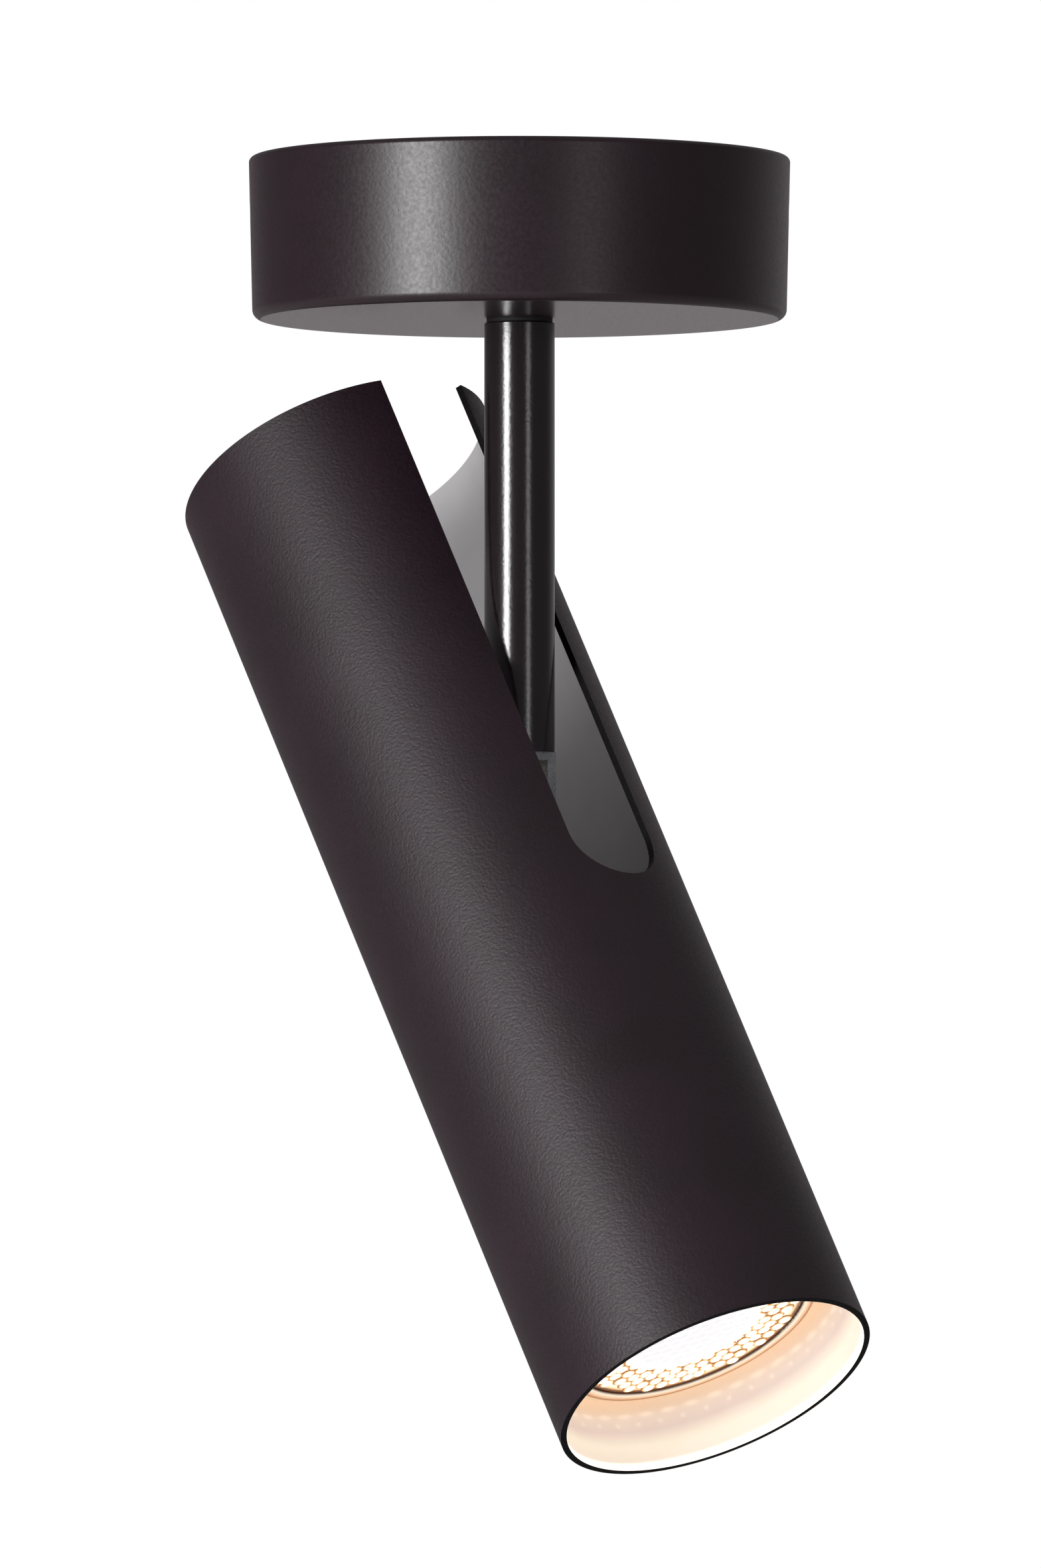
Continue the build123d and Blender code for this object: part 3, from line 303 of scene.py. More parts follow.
# Natural nylon is a waxy off-white, brass a warm yellow, and tinned copper a greyish silver.
white_nylon = moulded("natural_white_nylon", ("#d9d6cb", "#e8e6de"), roughness=0.45)
brass = bright_metal("turned_brass", ("#b08d3f", "#d2b064"), roughness=0.28, drag=0.3)
tinned_copper = bright_metal("tinned_copper", ("#b5b2ab", "#d8d5ce"), roughness=0.32, drag=0.5)
dress(white_nylon, "terminal_block")
dress(brass, "terminal_inserts", "earth_screw")
dress(tinned_copper, "earth_lug")

# Leads in the canopy and the round cable in the stem: soft PVC extruded over copper strands.
# They run from the terminal down through the nipple, and the cable ends at the fork.
# Extruded PVC is evenly coloured and half matt: grey on the leads, off-white on the sheath.
pvc_leads = moulded("grey_pvc_leads", ("#8f8c86", "#a5a29c"), roughness=0.5)
pvc_sheath = moulded("white_pvc_sheath", ("#c9c7c0", "#dad8d2"), roughness=0.5)
dress(pvc_leads, "canopy_leads")
dress(pvc_sheath, "stem_cable")

# Swivel: hollow threaded nipple, keyed stop washer, coned spring and nut, with nylon washers to slide on.
# The thin black washer shows as a dark line between the canopy and the stem.
# Its nylon is dull and nearly black; the spring's steel is a cool dark grey from its heat treatment.
black_nylon = moulded("black_nylon", ("#050405", "#0a090a"), roughness=0.7)
spring_steel = bright_metal("blued_spring_steel", ("#5c5e63", "#75777c"), roughness=0.35, drag=0.3)
dress(black_nylon, "swivel_washer")
dress(white_nylon, "bearing_washer")
dress(spring_steel, "disc_spring")
dress(zinc_plate, "stem_nipple", "stop_washer", "swivel_nut")

# Stem: drawn steel tube, threaded inside at both ends, in the same black but smoother and glossier.
# It is screwed on the nipple and turns with it.
STEM_R = 6.5
STEM_BORE_R = 4.5
STEM_EDGE_R = 0.3
STEM_STEPS = 96
STEM_IOR = 1.7
stem_low, stem_high = (corner.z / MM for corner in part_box("stem"))

# The glossier coat draws each soft box as a narrow bright line down the stem.
STEM_BLACKS = ("#0f070b", "#150b10")
stem_coat = {"roughness": 0.19, "grit": 0.5, "relief": 0.25, "ior": STEM_IOR}
gloss_black = powder_coat("semi_gloss_black_powder_coat", STEM_BLACKS, **stem_coat)
stem_outline = rounded_outline(
    [
        (STEM_BORE_R, stem_low, 0),
        (STEM_R, stem_low, STEM_EDGE_R),
        (STEM_R, stem_high, STEM_EDGE_R),
        (STEM_BORE_R, stem_high, 0),
    ]
)
stem = bake(turned_piece("stem_tube", stem_outline, gloss_black, STEM_STEPS))
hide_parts("stem")
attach(stem, "arm")

# Fork and tilt pivot: plated fork with a bolt, a self-locking nut and fibre friction washers.
# The head's hinge lug swings between the fork's two cheeks.
# Vulcanised fibre is a dry, matt red-brown.
red_fibre = moulded("vulcanised_fibre", ("#5c2f22", "#6e3a2a"), roughness=0.6)
dress(zinc_plate, "stem_fork", "pivot_bolt", "pivot_nut", "pivot_washers")
dress(red_fibre, "friction_washers")

# Lamp tube: steel tube, slotted from its top past the pivot, black powder outside, white lacquer inside.
# Two screws in its back hold the carriage; its open mouth shows the lit bulb.
# Heights on the tube are counted from the pivot, along the tube's axis.
TUBE_R = 30.0
TUBE_WALL = 1.2
TUBE_TOP = 99.1
TUBE_MOUTH = -103.4
TUBE_EDGE = 0.45
TUBE_EDGE_STEPS = 3
TUBE_EDGE_ANGLE = 40
TUBE_COLUMNS = 200
SLOT_R = 9.75
SLOT_CENTRE = -1.5
NO_OPENING = 1e-6
PLAIN_ROWS = 24
ROUND_ROWS = 20
LACQUER_LAP = 0.5
INSIDE, CUT_EDGE = 1, 2  # the tube's second and third finish
tilt = next(joint for joint in frame["joints"] if joint["name"] == "tilt")
pivot = Vector(tilt["pos_m"])
rest_pan = math.atan2(tilt["axis"][0], -tilt["axis"][1])
rest_tilt = -math.radians(tilt["range_deg"][0])
turned_at_pivot = Matrix.Translation(pivot) @ Matrix.Rotation(rest_pan, 4, "Z")
HEAD = turned_at_pivot @ Matrix.Rotation(-rest_tilt, 4, "Y")
INTO_HEAD = HEAD.inverted()


def slot_opening(height):
    """Half of the angle that the slot opens at a height on the tube."""
    below = max(0.0, SLOT_CENTRE - height)
    half_width = math.sqrt(max(0.0, SLOT_R**2 - below**2))
    return math.asin(half_width / TUBE_R)


def fill_tube(work):
    """Outer skin of the tube, parted along the slot."""
    slot_end = SLOT_CENTRE - SLOT_R
    plain = [TUBE_MOUTH + (slot_end - TUBE_MOUTH) * i / PLAIN_ROWS for i in range(PLAIN_ROWS + 1)]
    turns = [math.pi / 2 * i / ROUND_ROWS for i in range(1, ROUND_ROWS + 1)]
    bend = [SLOT_CENTRE - SLOT_R * math.cos(turn) for turn in turns]
    straight = [SLOT_CENTRE + (TUBE_TOP - SLOT_CENTRE) * i / PLAIN_ROWS for i in range(1, PLAIN_ROWS + 1)]
    rows = []
    for height in plain + bend + straight:
        opening = slot_opening(height)
        whole = opening < NO_OPENING
        row = []
        for i in range(TUBE_COLUMNS + (0 if whole else 1)):
            angle = opening + (2 * math.pi - 2 * opening) * i / TUBE_COLUMNS
            spot = Vector((TUBE_R * math.cos(angle), TUBE_R * math.sin(angle), height)) * MM
            row.append(work.verts.new(HEAD @ spot))
        rows.append(row + row[:1] if whole else row)
    for row, above in zip(rows, rows[1:]):
        for i in range(TUBE_COLUMNS):
            work.faces.new(list(dict.fromkeys((row[i], row[i + 1], above[i + 1], above[i]))))


def in_head(tree, place):
    """Object coordinates turned upright about the pivot, with the tube along Z."""
    turned = {"Location": INTO_HEAD.translation, "Rotation": INTO_HEAD.to_euler()}
    return add(tree, "ShaderNodeMapping", {"Vector": (place, "Object"), **turned})


LACQUER_WHITES = ("#cdcdcc", "#d6d6d5")
LACQUER_CLOUD = 14.0
LACQUER_GRAIN = 0.6
LACQUER_GRAIN_DEPTH = 0.03
LACQUER_RELIEF = 0.05
LACQUER_MATT = (0.45, 0.6)
# Painted light spots on the lacquer, in two rows in front of the bulb's rim.
SPOT_COUNT = 40
SPOT_PITCH = 2 * math.pi * (TUBE_R - TUBE_WALL) / SPOT_COUNT
SPOT_ROWS = ((-92.0, 0.0, 2.2, 2.4), (-93.9, 0.5, 0.75, 1.0))  # height, shift in pitches, radius, squeeze
PAINTED_SPOT_LIGHT = 0.45
PAINTED_WALL_LIGHT = (  # height on the tube, and the painted light that the wall emits there
    (99.0, "#535253"),
    (67.0, "#676567"),
    (36.0, "#201f20"),
    (12.0, "#0a090a"),
    (-26.0, "#0a090a"),
    (-46.0, "#8a7763"),
    (-80.0, "#a08b74"),
    (-91.0, "#a08b74"),
    (-92.5, "#a3968a"),
    (-95.4, "#92807c"),
    (-98.5, "#b6ad98"),
    (-101.6, "#aea08f"),
    (-102.4, "#fff8ec"),
)


def white_lacquer_and_painted_light():
    """White stoving lacquer: smooth, carrying painted light as emission: grey near the slot's top, dim by
    the pivot, warm in front of the bulb, and a painted white highlight band at the mouth's edge. Two rows
    of soft painted light spots stand just in front of the bulb's rim, where its facets would throw light."""
    material, tree, place = blank_material("white_stoving_lacquer_and_painted_light")
    clouds, grains = (LACQUER_CLOUD, 3.0), (LACQUER_GRAIN, 3.0)
    skin = (LACQUER_MATT, LACQUER_RELIEF, LACQUER_GRAIN_DEPTH)
    surface = grained(tree, place, LACQUER_WHITES, clouds, grains, *skin)
    upright = add(tree, "ShaderNodeSeparateXYZ", {"Vector": (in_head(tree, place), "Vector")})
    angle = add(tree, "ShaderNodeMath", {0: (upright, "Y"), 1: (upright, "X")}, operation="ARCTAN2")
    top, mouth = PAINTED_WALL_LIGHT[0][0], PAINTED_WALL_LIGHT[-1][0]
    down = {"Value": (upright, "Z"), "From Min": top * MM, "From Max": mouth * MM}
    depth = add(tree, "ShaderNodeMapRange", down)
    stops = [((height - top) / (mouth - top), code) for height, code in PAINTED_WALL_LIGHT]
    light = add(tree, "ShaderNodeValToRGB", {"Fac": (depth, "Result")}, stops)
    glow = None
    for row, share, width, squeeze in SPOT_ROWS:
        count = {0: (angle, "Value"), 1: SPOT_COUNT / (2 * math.pi), 2: share}
        step = add(tree, "ShaderNodeMath", count, operation="MULTIPLY_ADD")
        fold = add(tree, "ShaderNodeMath", {0: (step, "Value"), 1: 0.5}, operation="PINGPONG")
        side = add(tree, "ShaderNodeMath", {0: (fold, "Value"), 1: SPOT_PITCH * MM}, operation="MULTIPLY")
        level = {0: (upright, "Z"), 1: squeeze, 2: -row * squeeze * MM}
        rise = add(tree, "ShaderNodeMath", level, operation="MULTIPLY_ADD")
        away = add(tree, "ShaderNodeCombineXYZ", {"X": (side, "Value"), "Y": (rise, "Value")})
        far = add(tree, "ShaderNodeVectorMath", {0: (away, "Vector")}, operation="LENGTH")
        fade = {"Value": (far, "Value"), "From Max": width * MM, "To Min": PAINTED_SPOT_LIGHT, "To Max": 0.0}
        patch = add(tree, "ShaderNodeMapRange", fade, interpolation_type="SMOOTHSTEP")
        both = {0: (patch, "Result"), 1: (glow, "Value") if glow else 1.0}
        glow = add(tree, "ShaderNodeMath", both, operation="ADD")
    # The emission paints the wall's light and shade and the light spots onto the lacquer.
    lit = {"Emission Color": (light, "Color"), "Emission Strength": (glow, "Value")}
    shader = add(tree, "ShaderNodeBsdfPrincipled", {**surface, **lit, "IOR": POLYMER_IOR})
    add(tree, "ShaderNodeOutputMaterial", {"Surface": (shader, "BSDF")})
    return material


# The tube's coat is more matt and pebbled than the canopy's; on cut edges it is darker and reflects less,
# as painted shade.
TUBE_BLACKS = ("#1c1016", "#23141d")
CUT_EDGE_SHADE_BLACKS = ("#060405", "#0b0809")
CUT_IOR = 1.2
cut_edge_shade_coat = {"roughness": 0.6, "grit": 0.8, "relief": 0.1, "ior": CUT_IOR}
matt_black = powder_coat("matt_black_powder_coat", TUBE_BLACKS, roughness=0.48, grit=0.55, relief=0.9)
cut_edge_painted_shade = powder_coat("black_coat_with_painted_shade_on_cut_edge", CUT_EDGE_SHADE_BLACKS, **cut_edge_shade_coat)
lacquer = white_lacquer_and_painted_light()
tube = new_piece("lamp_tube_shell", fill_tube, [matt_black, lacquer, cut_edge_painted_shade])
wall = tube.modifiers.new("wall", "SOLIDIFY")
wall.thickness = TUBE_WALL * MM
wall.offset = -1.0
wall.use_even_offset = True
wall.material_offset = INSIDE
# The slot's cut faces and the mouth's end face take the darker, less reflective coat: painted shade.
wall.material_offset_rim = CUT_EDGE
edge = tube.modifiers.new("worn edges", "BEVEL")
edge.width = TUBE_EDGE * MM
edge.segments = TUBE_EDGE_STEPS
edge.limit_method = "ANGLE"
edge.angle_limit = math.radians(TUBE_EDGE_ANGLE)
tube.modifiers.new("even shading", "WEIGHTED_NORMAL").keep_sharp = True
bake(tube)
for face in tube.data.polygons:
    spot = INTO_HEAD @ face.center / MM
    in_bore = math.hypot(spot.x, spot.y) < TUBE_R - TUBE_WALL + LACQUER_LAP
    if in_bore and spot.z < TUBE_MOUTH + LACQUER_LAP:
        face.material_index = INSIDE
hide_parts("lamp_tube")
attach(tube, "head")
dress(screw_black, "carriage_screws")

# Carriage, hinge lug and their fixings: pressed and plated steel, with a rubber grommet for the leads.
# The carriage closes the tube above the lampholder and hangs on the pivot by its lug.
# Rubber is dull black and takes hardly any highlight.
black_rubber = moulded("black_rubber", ("#141414", "#1b1b1b"), roughness=0.7)
dress(zinc_plate, "carriage", "hinge_lug", "lug_screws", "head_earth_screw")
dress(zinc_plate, "holder_spacers", "holder_screws", "holder_nuts")
dress(tinned_copper, "head_earth_tag", "lampholder_contacts")
dress(black_rubber, "lead_grommet")

# Head leads: three soft leads in white glass-silk sleeves, as a hot lampholder needs.
# Two go from the fork through the grommet into the lampholder, and the third ends in the earth tag.
LEAD_D = 1.6
LEAD_SIDES = 10
LEAD_SPREAD = 1.75
LEAD_LEAN = -1.5
FORK_END = 27.6
FLEX_DROP = 9
LIVE_ROUTE = ((-4.5, 1.6, 11), (-12.5, 1.1, 2), (-16.5, 1, -10), (-16.5, 1, -23.9))
LIVE_END = ((-10.4, 3.8, -28.9), (-10.4, 3.8, -35.0))
EARTH_ROUTE = ((-4, 0, 11), (-10, 0, 2), (-12.3, 0.2, -7), (-12.9, -6, -18.2), (-12.9, -10.5, -18.2))


def in_fork(x, y, drop):
    """Head coordinates of a point in the fork, which hangs upright above the pivot."""
    across, up = math.cos(rest_tilt), math.sin(rest_tilt)
    return (x * across + drop * up, y, drop * across - x * up)


def flexed_lead(name, route, material):
    """Round lead along a smooth spline through the head."""
    curve = bpy.data.curves.new(name, "CURVE")
    curve.dimensions = "3D"
    curve.bevel_depth = LEAD_D / 2 * MM
    curve.bevel_resolution = LEAD_SIDES // 2 - 1
    curve.use_fill_caps = True
    line = curve.splines.new("NURBS")
    line.points.add(len(route) - 1)
    for point, spot in zip(line.points, route):
        point.co = (*(HEAD @ (Vector(spot) * MM)), 1.0)
    line.order_u = 3
    line.use_endpoint_u = True
    source = bpy.data.objects.new(name + "_line", curve)
    bpy.context.scene.collection.objects.link(source)
    seen = source.evaluated_get(bpy.context.evaluated_depsgraph_get())
    mesh = bpy.data.meshes.new_from_object(seen)
    bpy.data.objects.remove(source)
    mesh.materials.clear()
    mesh.materials.append(material)
    piece = bpy.data.objects.new(name, mesh)
    bpy.context.scene.collection.objects.link(piece)
    return piece


# Braided glass silk is a soft white, with a coarser, duller skin than plastic.
sleeve_skin = {"roughness": 0.6, "grit": 0.5, "relief": 0.3}
glass_sleeve = moulded("white_glass_silk_sleeve", ("#d8d4ca", "#eae7df"), **sleeve_skin)
for name, side in (("live_lead", -1), ("neutral_lead", 1), ("earth_lead", 0)):
    across = LEAD_SPREAD * side
    route = [in_fork(0, across, FORK_END), in_fork(LEAD_LEAN, across, FORK_END - FLEX_DROP)]
    route += [(x, y * side, z) for x, y, z in LIVE_ROUTE + LIVE_END] if side else EARTH_ROUTE
    lead = flexed_lead(name, route, glass_sleeve)
    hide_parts("lampholder_leads")
    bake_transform(lead)

# Lampholder: two halves of pressed steatite ceramic, cream and matt, held on long screws.
# The bulb's pins turn in its keyhole slots.
steatite = moulded("steatite_ceramic", ("#d2cabb", "#e0d9cc"), roughness=0.55)
dress(steatite, "lampholder_cap", "lampholder_body")

# Bulb neck: moulded white plastic with two headed pins, the driver board inside it.
# It is pushed into the holder and turned to lock.
# The neck is a smooth, slightly glossy white, the board a lacquered green, the light source egg yellow.
white_neck = moulded("white_bulb_neck", ("#dcdbd7", "#eae9e6"), roughness=0.3)
board_green = moulded("green_circuit_board", ("#1d4a2b", "#27603a"), roughness=0.4)
phosphor = moulded("yellow_phosphor", ("#e0c052", "#f0d678"), roughness=0.35)
dress(white_neck, "bulb_base")
dress(tinned_copper, "bulb_pins")
dress(board_green, "bulb_driver")
dress(phosphor, "bulb_led")

# Bulb dish: pressed glass, coated inside; the light that leaks through makes it glow like honey.
# Its rim shows as tan rings round the front glass.
DISH_SEAT_R = 22.2
DISH_RIM_R = 25.0
DISH_FRONT = -91.3
DISH_GLOW_FRONT = 0.42
DISH_GLOW_BACK = 0.9
DISH_GLOW_DEPTH = 3
DISH_WAVE = 3
DISH_WAVE_DEPTH = 0.2
GLASS_IOR = 1.5
DISH_RINGS = (  # distance from the axis, and the tone of the rim there
    (22.2, "#4a2612"),
    (22.45, "#fff4e0"),
    (23.0, "#f6d9b8"),
    (23.5, "#e2b48a"),
    (23.9, "#a8683a"),
    (24.25, "#efcda6"),
    (25.0, "#dcb188"),
)


def from_axis(tree, place):
    """Distance from the tube's axis."""
    level = {0: (in_head(tree, place), "Vector"), 1: (1, 1, 0)}
    flat = add(tree, "ShaderNodeVectorMath", level, operation="MULTIPLY")
    return add(tree, "ShaderNodeVectorMath", {0: (flat, "Vector")}, operation="LENGTH")


def honey_glass():
    """Pressed glass lit from within: cream and tan rings where the light gathers in the rim."""
    material, tree, place = blank_material("honey_lit_glass")
    span = DISH_RIM_R - DISH_SEAT_R
    seat = {"From Min": DISH_SEAT_R * MM, "From Max": DISH_RIM_R * MM}
    across = add(tree, "ShaderNodeMapRange", {"Value": (from_axis(tree, place), "Value"), **seat})
    stops = [((radius - DISH_SEAT_R) / span, code) for radius, code in DISH_RINGS]
    tone = add(tree, "ShaderNodeValToRGB", {"Fac": (across, "Result")}, stops)
    upright = add(tree, "ShaderNodeSeparateXYZ", {"Vector": (in_head(tree, place), "Vector")})
    glow_end = DISH_FRONT + DISH_GLOW_DEPTH
    rim = {"Value": (upright, "Z"), "From Min": DISH_FRONT * MM, "From Max": glow_end * MM}
    power = add(tree, "ShaderNodeMapRange", {**rim, "To Min": DISH_GLOW_FRONT, "To Max": DISH_GLOW_BACK})
    swell = {"Vector": (place, "Object"), "Scale": 1 / (DISH_WAVE * MM), "Detail": 2.0}
    wave = add(tree, "ShaderNodeTexNoise", swell)
    flow = {"Height": (wave, "Fac"), "Strength": 0.25, "Distance": DISH_WAVE_DEPTH * MM}
    dent = add(tree, "ShaderNodeBump", flow)
    surface = {"Base Color": (tone, "Color"), "Normal": (dent, "Normal")}
    lit = {"Emission Color": (tone, "Color"), "Emission Strength": (power, "Result")}
    glossy = {"Roughness": 0.15, "IOR": GLASS_IOR}
    shader = add(tree, "ShaderNodeBsdfPrincipled", {**surface, **lit, **glossy})
    add(tree, "ShaderNodeOutputMaterial", {"Surface": (shader, "BSDF")})
    return material


dress(honey_glass(), "bulb_reflector")

# Front glass: a pressed disc whose face is a honeycomb of small lenses, dazzling round a dimmer middle.
# It is set on the dish's ledge behind the rim.
LENS_R = 22.05
LENS_FRONT = -91.0
LENS_BACK = -89.0
LENS_EDGE = 0.3
LENS_FLAT_R = 0.6 * LENS_R
LENS_SHADE_R = 18
LENS_MIDDLE_R = 11.5
LENS_MIDDLE_EASE = 2.5
LENS_GLOW_MIDDLE = 0.55
LENS_GLOW_CELLS = 2.2
CELL_PITCH = 2.5
CELL_FIELD_R = 20.4
CELL_R = 1.55
CELL_RISE = 0.28
CELL_SIDES = 12
CELL_RINGS = 6
CELL_JITTER = 0.12
CELL_SEED = 7
JUST_BELOW = -1e-6
ROW_STEP = math.sqrt(3) / 2  # between the rows of a honeycomb, as a share of its pitch
CELL_TONES = ((0.0, "#f4f6fb"), (0.1, "#fffaf2"), (0.66, "#fff0dc"), (0.78, "#b98a5c"), (1.0, "#5e3a1d"))
DISC_TONES = ((0.0, "#fff3e2"), (0.5, "#e8c298"), (0.78, "#5f3a1c"), (0.9, "#2e180a"), (1.0, "#29150a"))


def lens_light(name, cells):
    """Lit front glass: pale and cool in the middle, with dazzling cells between tan lines around it."""
    material, tree, place = blank_material(name)
    out = from_axis(tree, place)
    ease = {"From Min": LENS_MIDDLE_R * MM, "From Max": (LENS_MIDDLE_R + LENS_MIDDLE_EASE) * MM}
    share = add(tree, "ShaderNodeMapRange", {"Value": (out, "Value"), **ease})
    if cells:
        from_middle = add(tree, "ShaderNodeAttribute", attribute_name="cell_radius")
        line = {"Value": (from_middle, "Fac"), "From Max": CELL_PITCH / math.sqrt(3) * MM, "To Min": 0.1}
        across = add(tree, "ShaderNodeMapRange", line)
        both = {0: (across, "Result"), 1: (share, "Result")}
        mark = add(tree, "ShaderNodeMath", both, operation="MULTIPLY")
    else:
        band = {"Value": (out, "Value"), "From Min": LENS_SHADE_R * MM, "From Max": LENS_R * MM}
        mark = add(tree, "ShaderNodeMapRange", band)
    tone = add(tree, "ShaderNodeValToRGB", {"Fac": (mark, 0)}, CELL_TONES if cells else DISC_TONES)
    reach = {"To Min": LENS_GLOW_MIDDLE, "To Max": LENS_GLOW_CELLS}
    power = add(tree, "ShaderNodeMapRange", {"Value": (share, "Result"), **reach})
    lit = {"Emission Color": (tone, "Color"), "Emission Strength": (power, "Result")}
    face = {"Base Color": (tone, "Color"), "Roughness": 0.12, "IOR": GLASS_IOR}
    shader = add(tree, "ShaderNodeBsdfPrincipled", {**face, **lit})
    add(tree, "ShaderNodeOutputMaterial", {"Surface": (shader, "BSDF")})
    return material


def honeycomb_tree():
    """Geometry Nodes tree: small domes on a staggered grid, kept inside a round field."""
    tree = bpy.data.node_groups.new("honeycomb_lenses", "GeometryNodeTree")
    for name in ("Pitch", "Field radius", "Dome radius", "Dome rise"):
        tree.interface.new_socket(name, in_out="INPUT", socket_type="NodeSocketFloat")
    tree.interface.new_socket("Glass", in_out="INPUT", socket_type="NodeSocketMaterial")
    tree.interface.new_socket("Geometry", in_out="OUTPUT", socket_type="NodeSocketGeometry")
    given = add(tree, "NodeGroupInput")
    pitch = (given, "Pitch")
    count = int(2 * CELL_FIELD_R / CELL_PITCH) | 1
    rows = int(2 * CELL_FIELD_R / (CELL_PITCH * ROW_STEP)) | 1
    width = add(tree, "ShaderNodeMath", {0: pitch, 1: float(count - 1)}, operation="MULTIPLY")
    step = add(tree, "ShaderNodeMath", {0: pitch, 1: ROW_STEP}, operation="MULTIPLY")
    depth = add(tree, "ShaderNodeMath", {0: (step, "Value"), 1: float(rows - 1)}, operation="MULTIPLY")
    points = {"Vertices X": count, "Vertices Y": rows}
    sizes = {"Size X": (width, "Value"), "Size Y": (depth, "Value"), **points}
    grid = add(tree, "GeometryNodeMeshGrid", sizes)
    where = add(tree, "GeometryNodeInputPosition")
    split = add(tree, "ShaderNodeSeparateXYZ", {"Vector": (where, "Position")})
    row = add(tree, "ShaderNodeMath", {0: (split, "Y"), 1: (step, "Value")}, operation="DIVIDE")
    whole = add(tree, "ShaderNodeMath", {0: (row, "Value")}, operation="ROUND")
    odd = add(tree, "ShaderNodeMath", {0: (whole, "Value"), 1: 1.0}, operation="PINGPONG")
    half = add(tree, "ShaderNodeMath", {0: pitch, 1: 0.5}, operation="MULTIPLY")
    shift = add(tree, "ShaderNodeMath", {0: (odd, "Value"), 1: (half, "Value")}, operation="MULTIPLY")
    offset = add(tree, "ShaderNodeCombineXYZ", {"X": (shift, "Value")})
    moved = {"Geometry": (grid, "Mesh"), "Offset": (offset, "Vector")}
    stagger = add(tree, "GeometryNodeSetPosition", moved)
    radius = add(tree, "ShaderNodeVectorMath", {0: (where, "Position")}, operation="LENGTH")
    loose = add(tree, "ShaderNodeMath", {0: pitch, 1: CELL_JITTER}, operation="MULTIPLY")
    tight = add(tree, "ShaderNodeMath", {0: pitch, 1: -CELL_JITTER}, operation="MULTIPLY")
    most = add(tree, "ShaderNodeCombineXYZ", {"X": (loose, "Value"), "Y": (loose, "Value")})
    least = add(tree, "ShaderNodeCombineXYZ", {"X": (tight, "Value"), "Y": (tight, "Value")})
    draw = {0: (least, "Vector"), 1: (most, "Vector"), "Seed": CELL_SEED}
    chance = add(tree, "FunctionNodeRandomValue", draw, data_type="FLOAT_VECTOR")
    scatter = {"Geometry": (stagger, "Geometry"), "Offset": (chance, 0)}
    stirred = add(tree, "GeometryNodeSetPosition", scatter)
    outside = {0: (radius, "Value"), 1: (given, "Field radius")}
    beyond = add(tree, "ShaderNodeMath", outside, operation="GREATER_THAN")
    trim = {"Geometry": (stirred, "Geometry"), "Selection": (beyond, "Value")}
    field = add(tree, "GeometryNodeDeleteGeometry", trim, domain="POINT")
    ball = {"Segments": CELL_SIDES, "Rings": CELL_RINGS, "Radius": (given, "Dome radius")}
    dome = add(tree, "GeometryNodeMeshUVSphere", ball)
    low = add(tree, "ShaderNodeMath", {0: (split, "Z"), 1: JUST_BELOW}, operation="LESS_THAN")
    lower_half = {"Geometry": (dome, "Mesh"), "Selection": (low, "Value")}
    cup = add(tree, "GeometryNodeDeleteGeometry", lower_half, domain="POINT")
    level = add(tree, "ShaderNodeVectorMath", {0: (where, "Position"), 1: (1, 1, 0)}, operation="MULTIPLY")
    spread = add(tree, "ShaderNodeVectorMath", {0: (level, "Vector")}, operation="LENGTH")
    noted = {"Geometry": (cup, "Geometry"), "Name": "cell_radius", "Value": (spread, "Value")}
    marked = add(tree, "GeometryNodeStoreNamedAttribute", noted, data_type="FLOAT", domain="POINT")
    flatten = add(tree, "ShaderNodeCombineXYZ", {"X": 1.0, "Y": 1.0, "Z": (given, "Dome rise")})
    pressed = {"Geometry": (marked, "Geometry"), "Scale": (flatten, "Vector")}
    flat = add(tree, "GeometryNodeTransform", pressed)
    placed = {"Points": (field, "Geometry"), "Instance": (flat, "Geometry")}
    copies = add(tree, "GeometryNodeInstanceOnPoints", placed)
    real = add(tree, "GeometryNodeRealizeInstances", {"Geometry": (copies, "Instances")})
    smooth = add(tree, "GeometryNodeSetShadeSmooth", {"Geometry": (real, "Geometry")})
    finish = {"Geometry": (smooth, "Geometry"), "Material": (given, "Glass")}
    glass = add(tree, "GeometryNodeSetMaterial", finish)
    add(tree, "NodeGroupOutput", {"Geometry": (glass, "Geometry")})
    return tree


def fill_lens(work):
    """Plain disc with a bevelled front edge, closed on both sides."""
    outline = [
        (LENS_R, LENS_BACK),
        (LENS_R, LENS_FRONT + LENS_EDGE),
        (LENS_R - LENS_EDGE, LENS_FRONT),
        (LENS_FLAT_R, LENS_FRONT),
    ]
    rings = turn_outline(work, outline, HEAD, ROUND_STEPS, closed=False)
    work.faces.new(rings[0])
    work.faces.new(rings[-1])


lens = new_piece("front_glass_disc", fill_lens, [lens_light("lit_front_glass", cells=False)])
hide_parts("bulb_lens")
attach(lens, "bulb")

cells = bpy.data.objects.new("front_glass_cells", bpy.data.meshes.new("front_glass_cells"))
bpy.context.scene.collection.objects.link(cells)
honeycomb = cells.modifiers.new("honeycomb", "NODES")
honeycomb.node_group = honeycomb_tree()
honeycomb_sizes = {
    "Pitch": CELL_PITCH * MM,
    "Field radius": CELL_FIELD_R * MM,
    "Dome radius": CELL_R * MM,
    "Dome rise": CELL_RISE / CELL_R,
    "Glass": lens_light("lit_lens_cells", cells=True),
}
for item in honeycomb.node_group.interface.items_tree:
    if item.in_out == "INPUT":
        honeycomb[item.identifier] = honeycomb_sizes[item.name]
bake(cells)
face_down = Matrix.Translation((0, 0, LENS_FRONT * MM)) @ Matrix.Rotation(math.pi, 4, "X")
cells.data.transform(HEAD @ face_down)
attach(cells, "bulb")

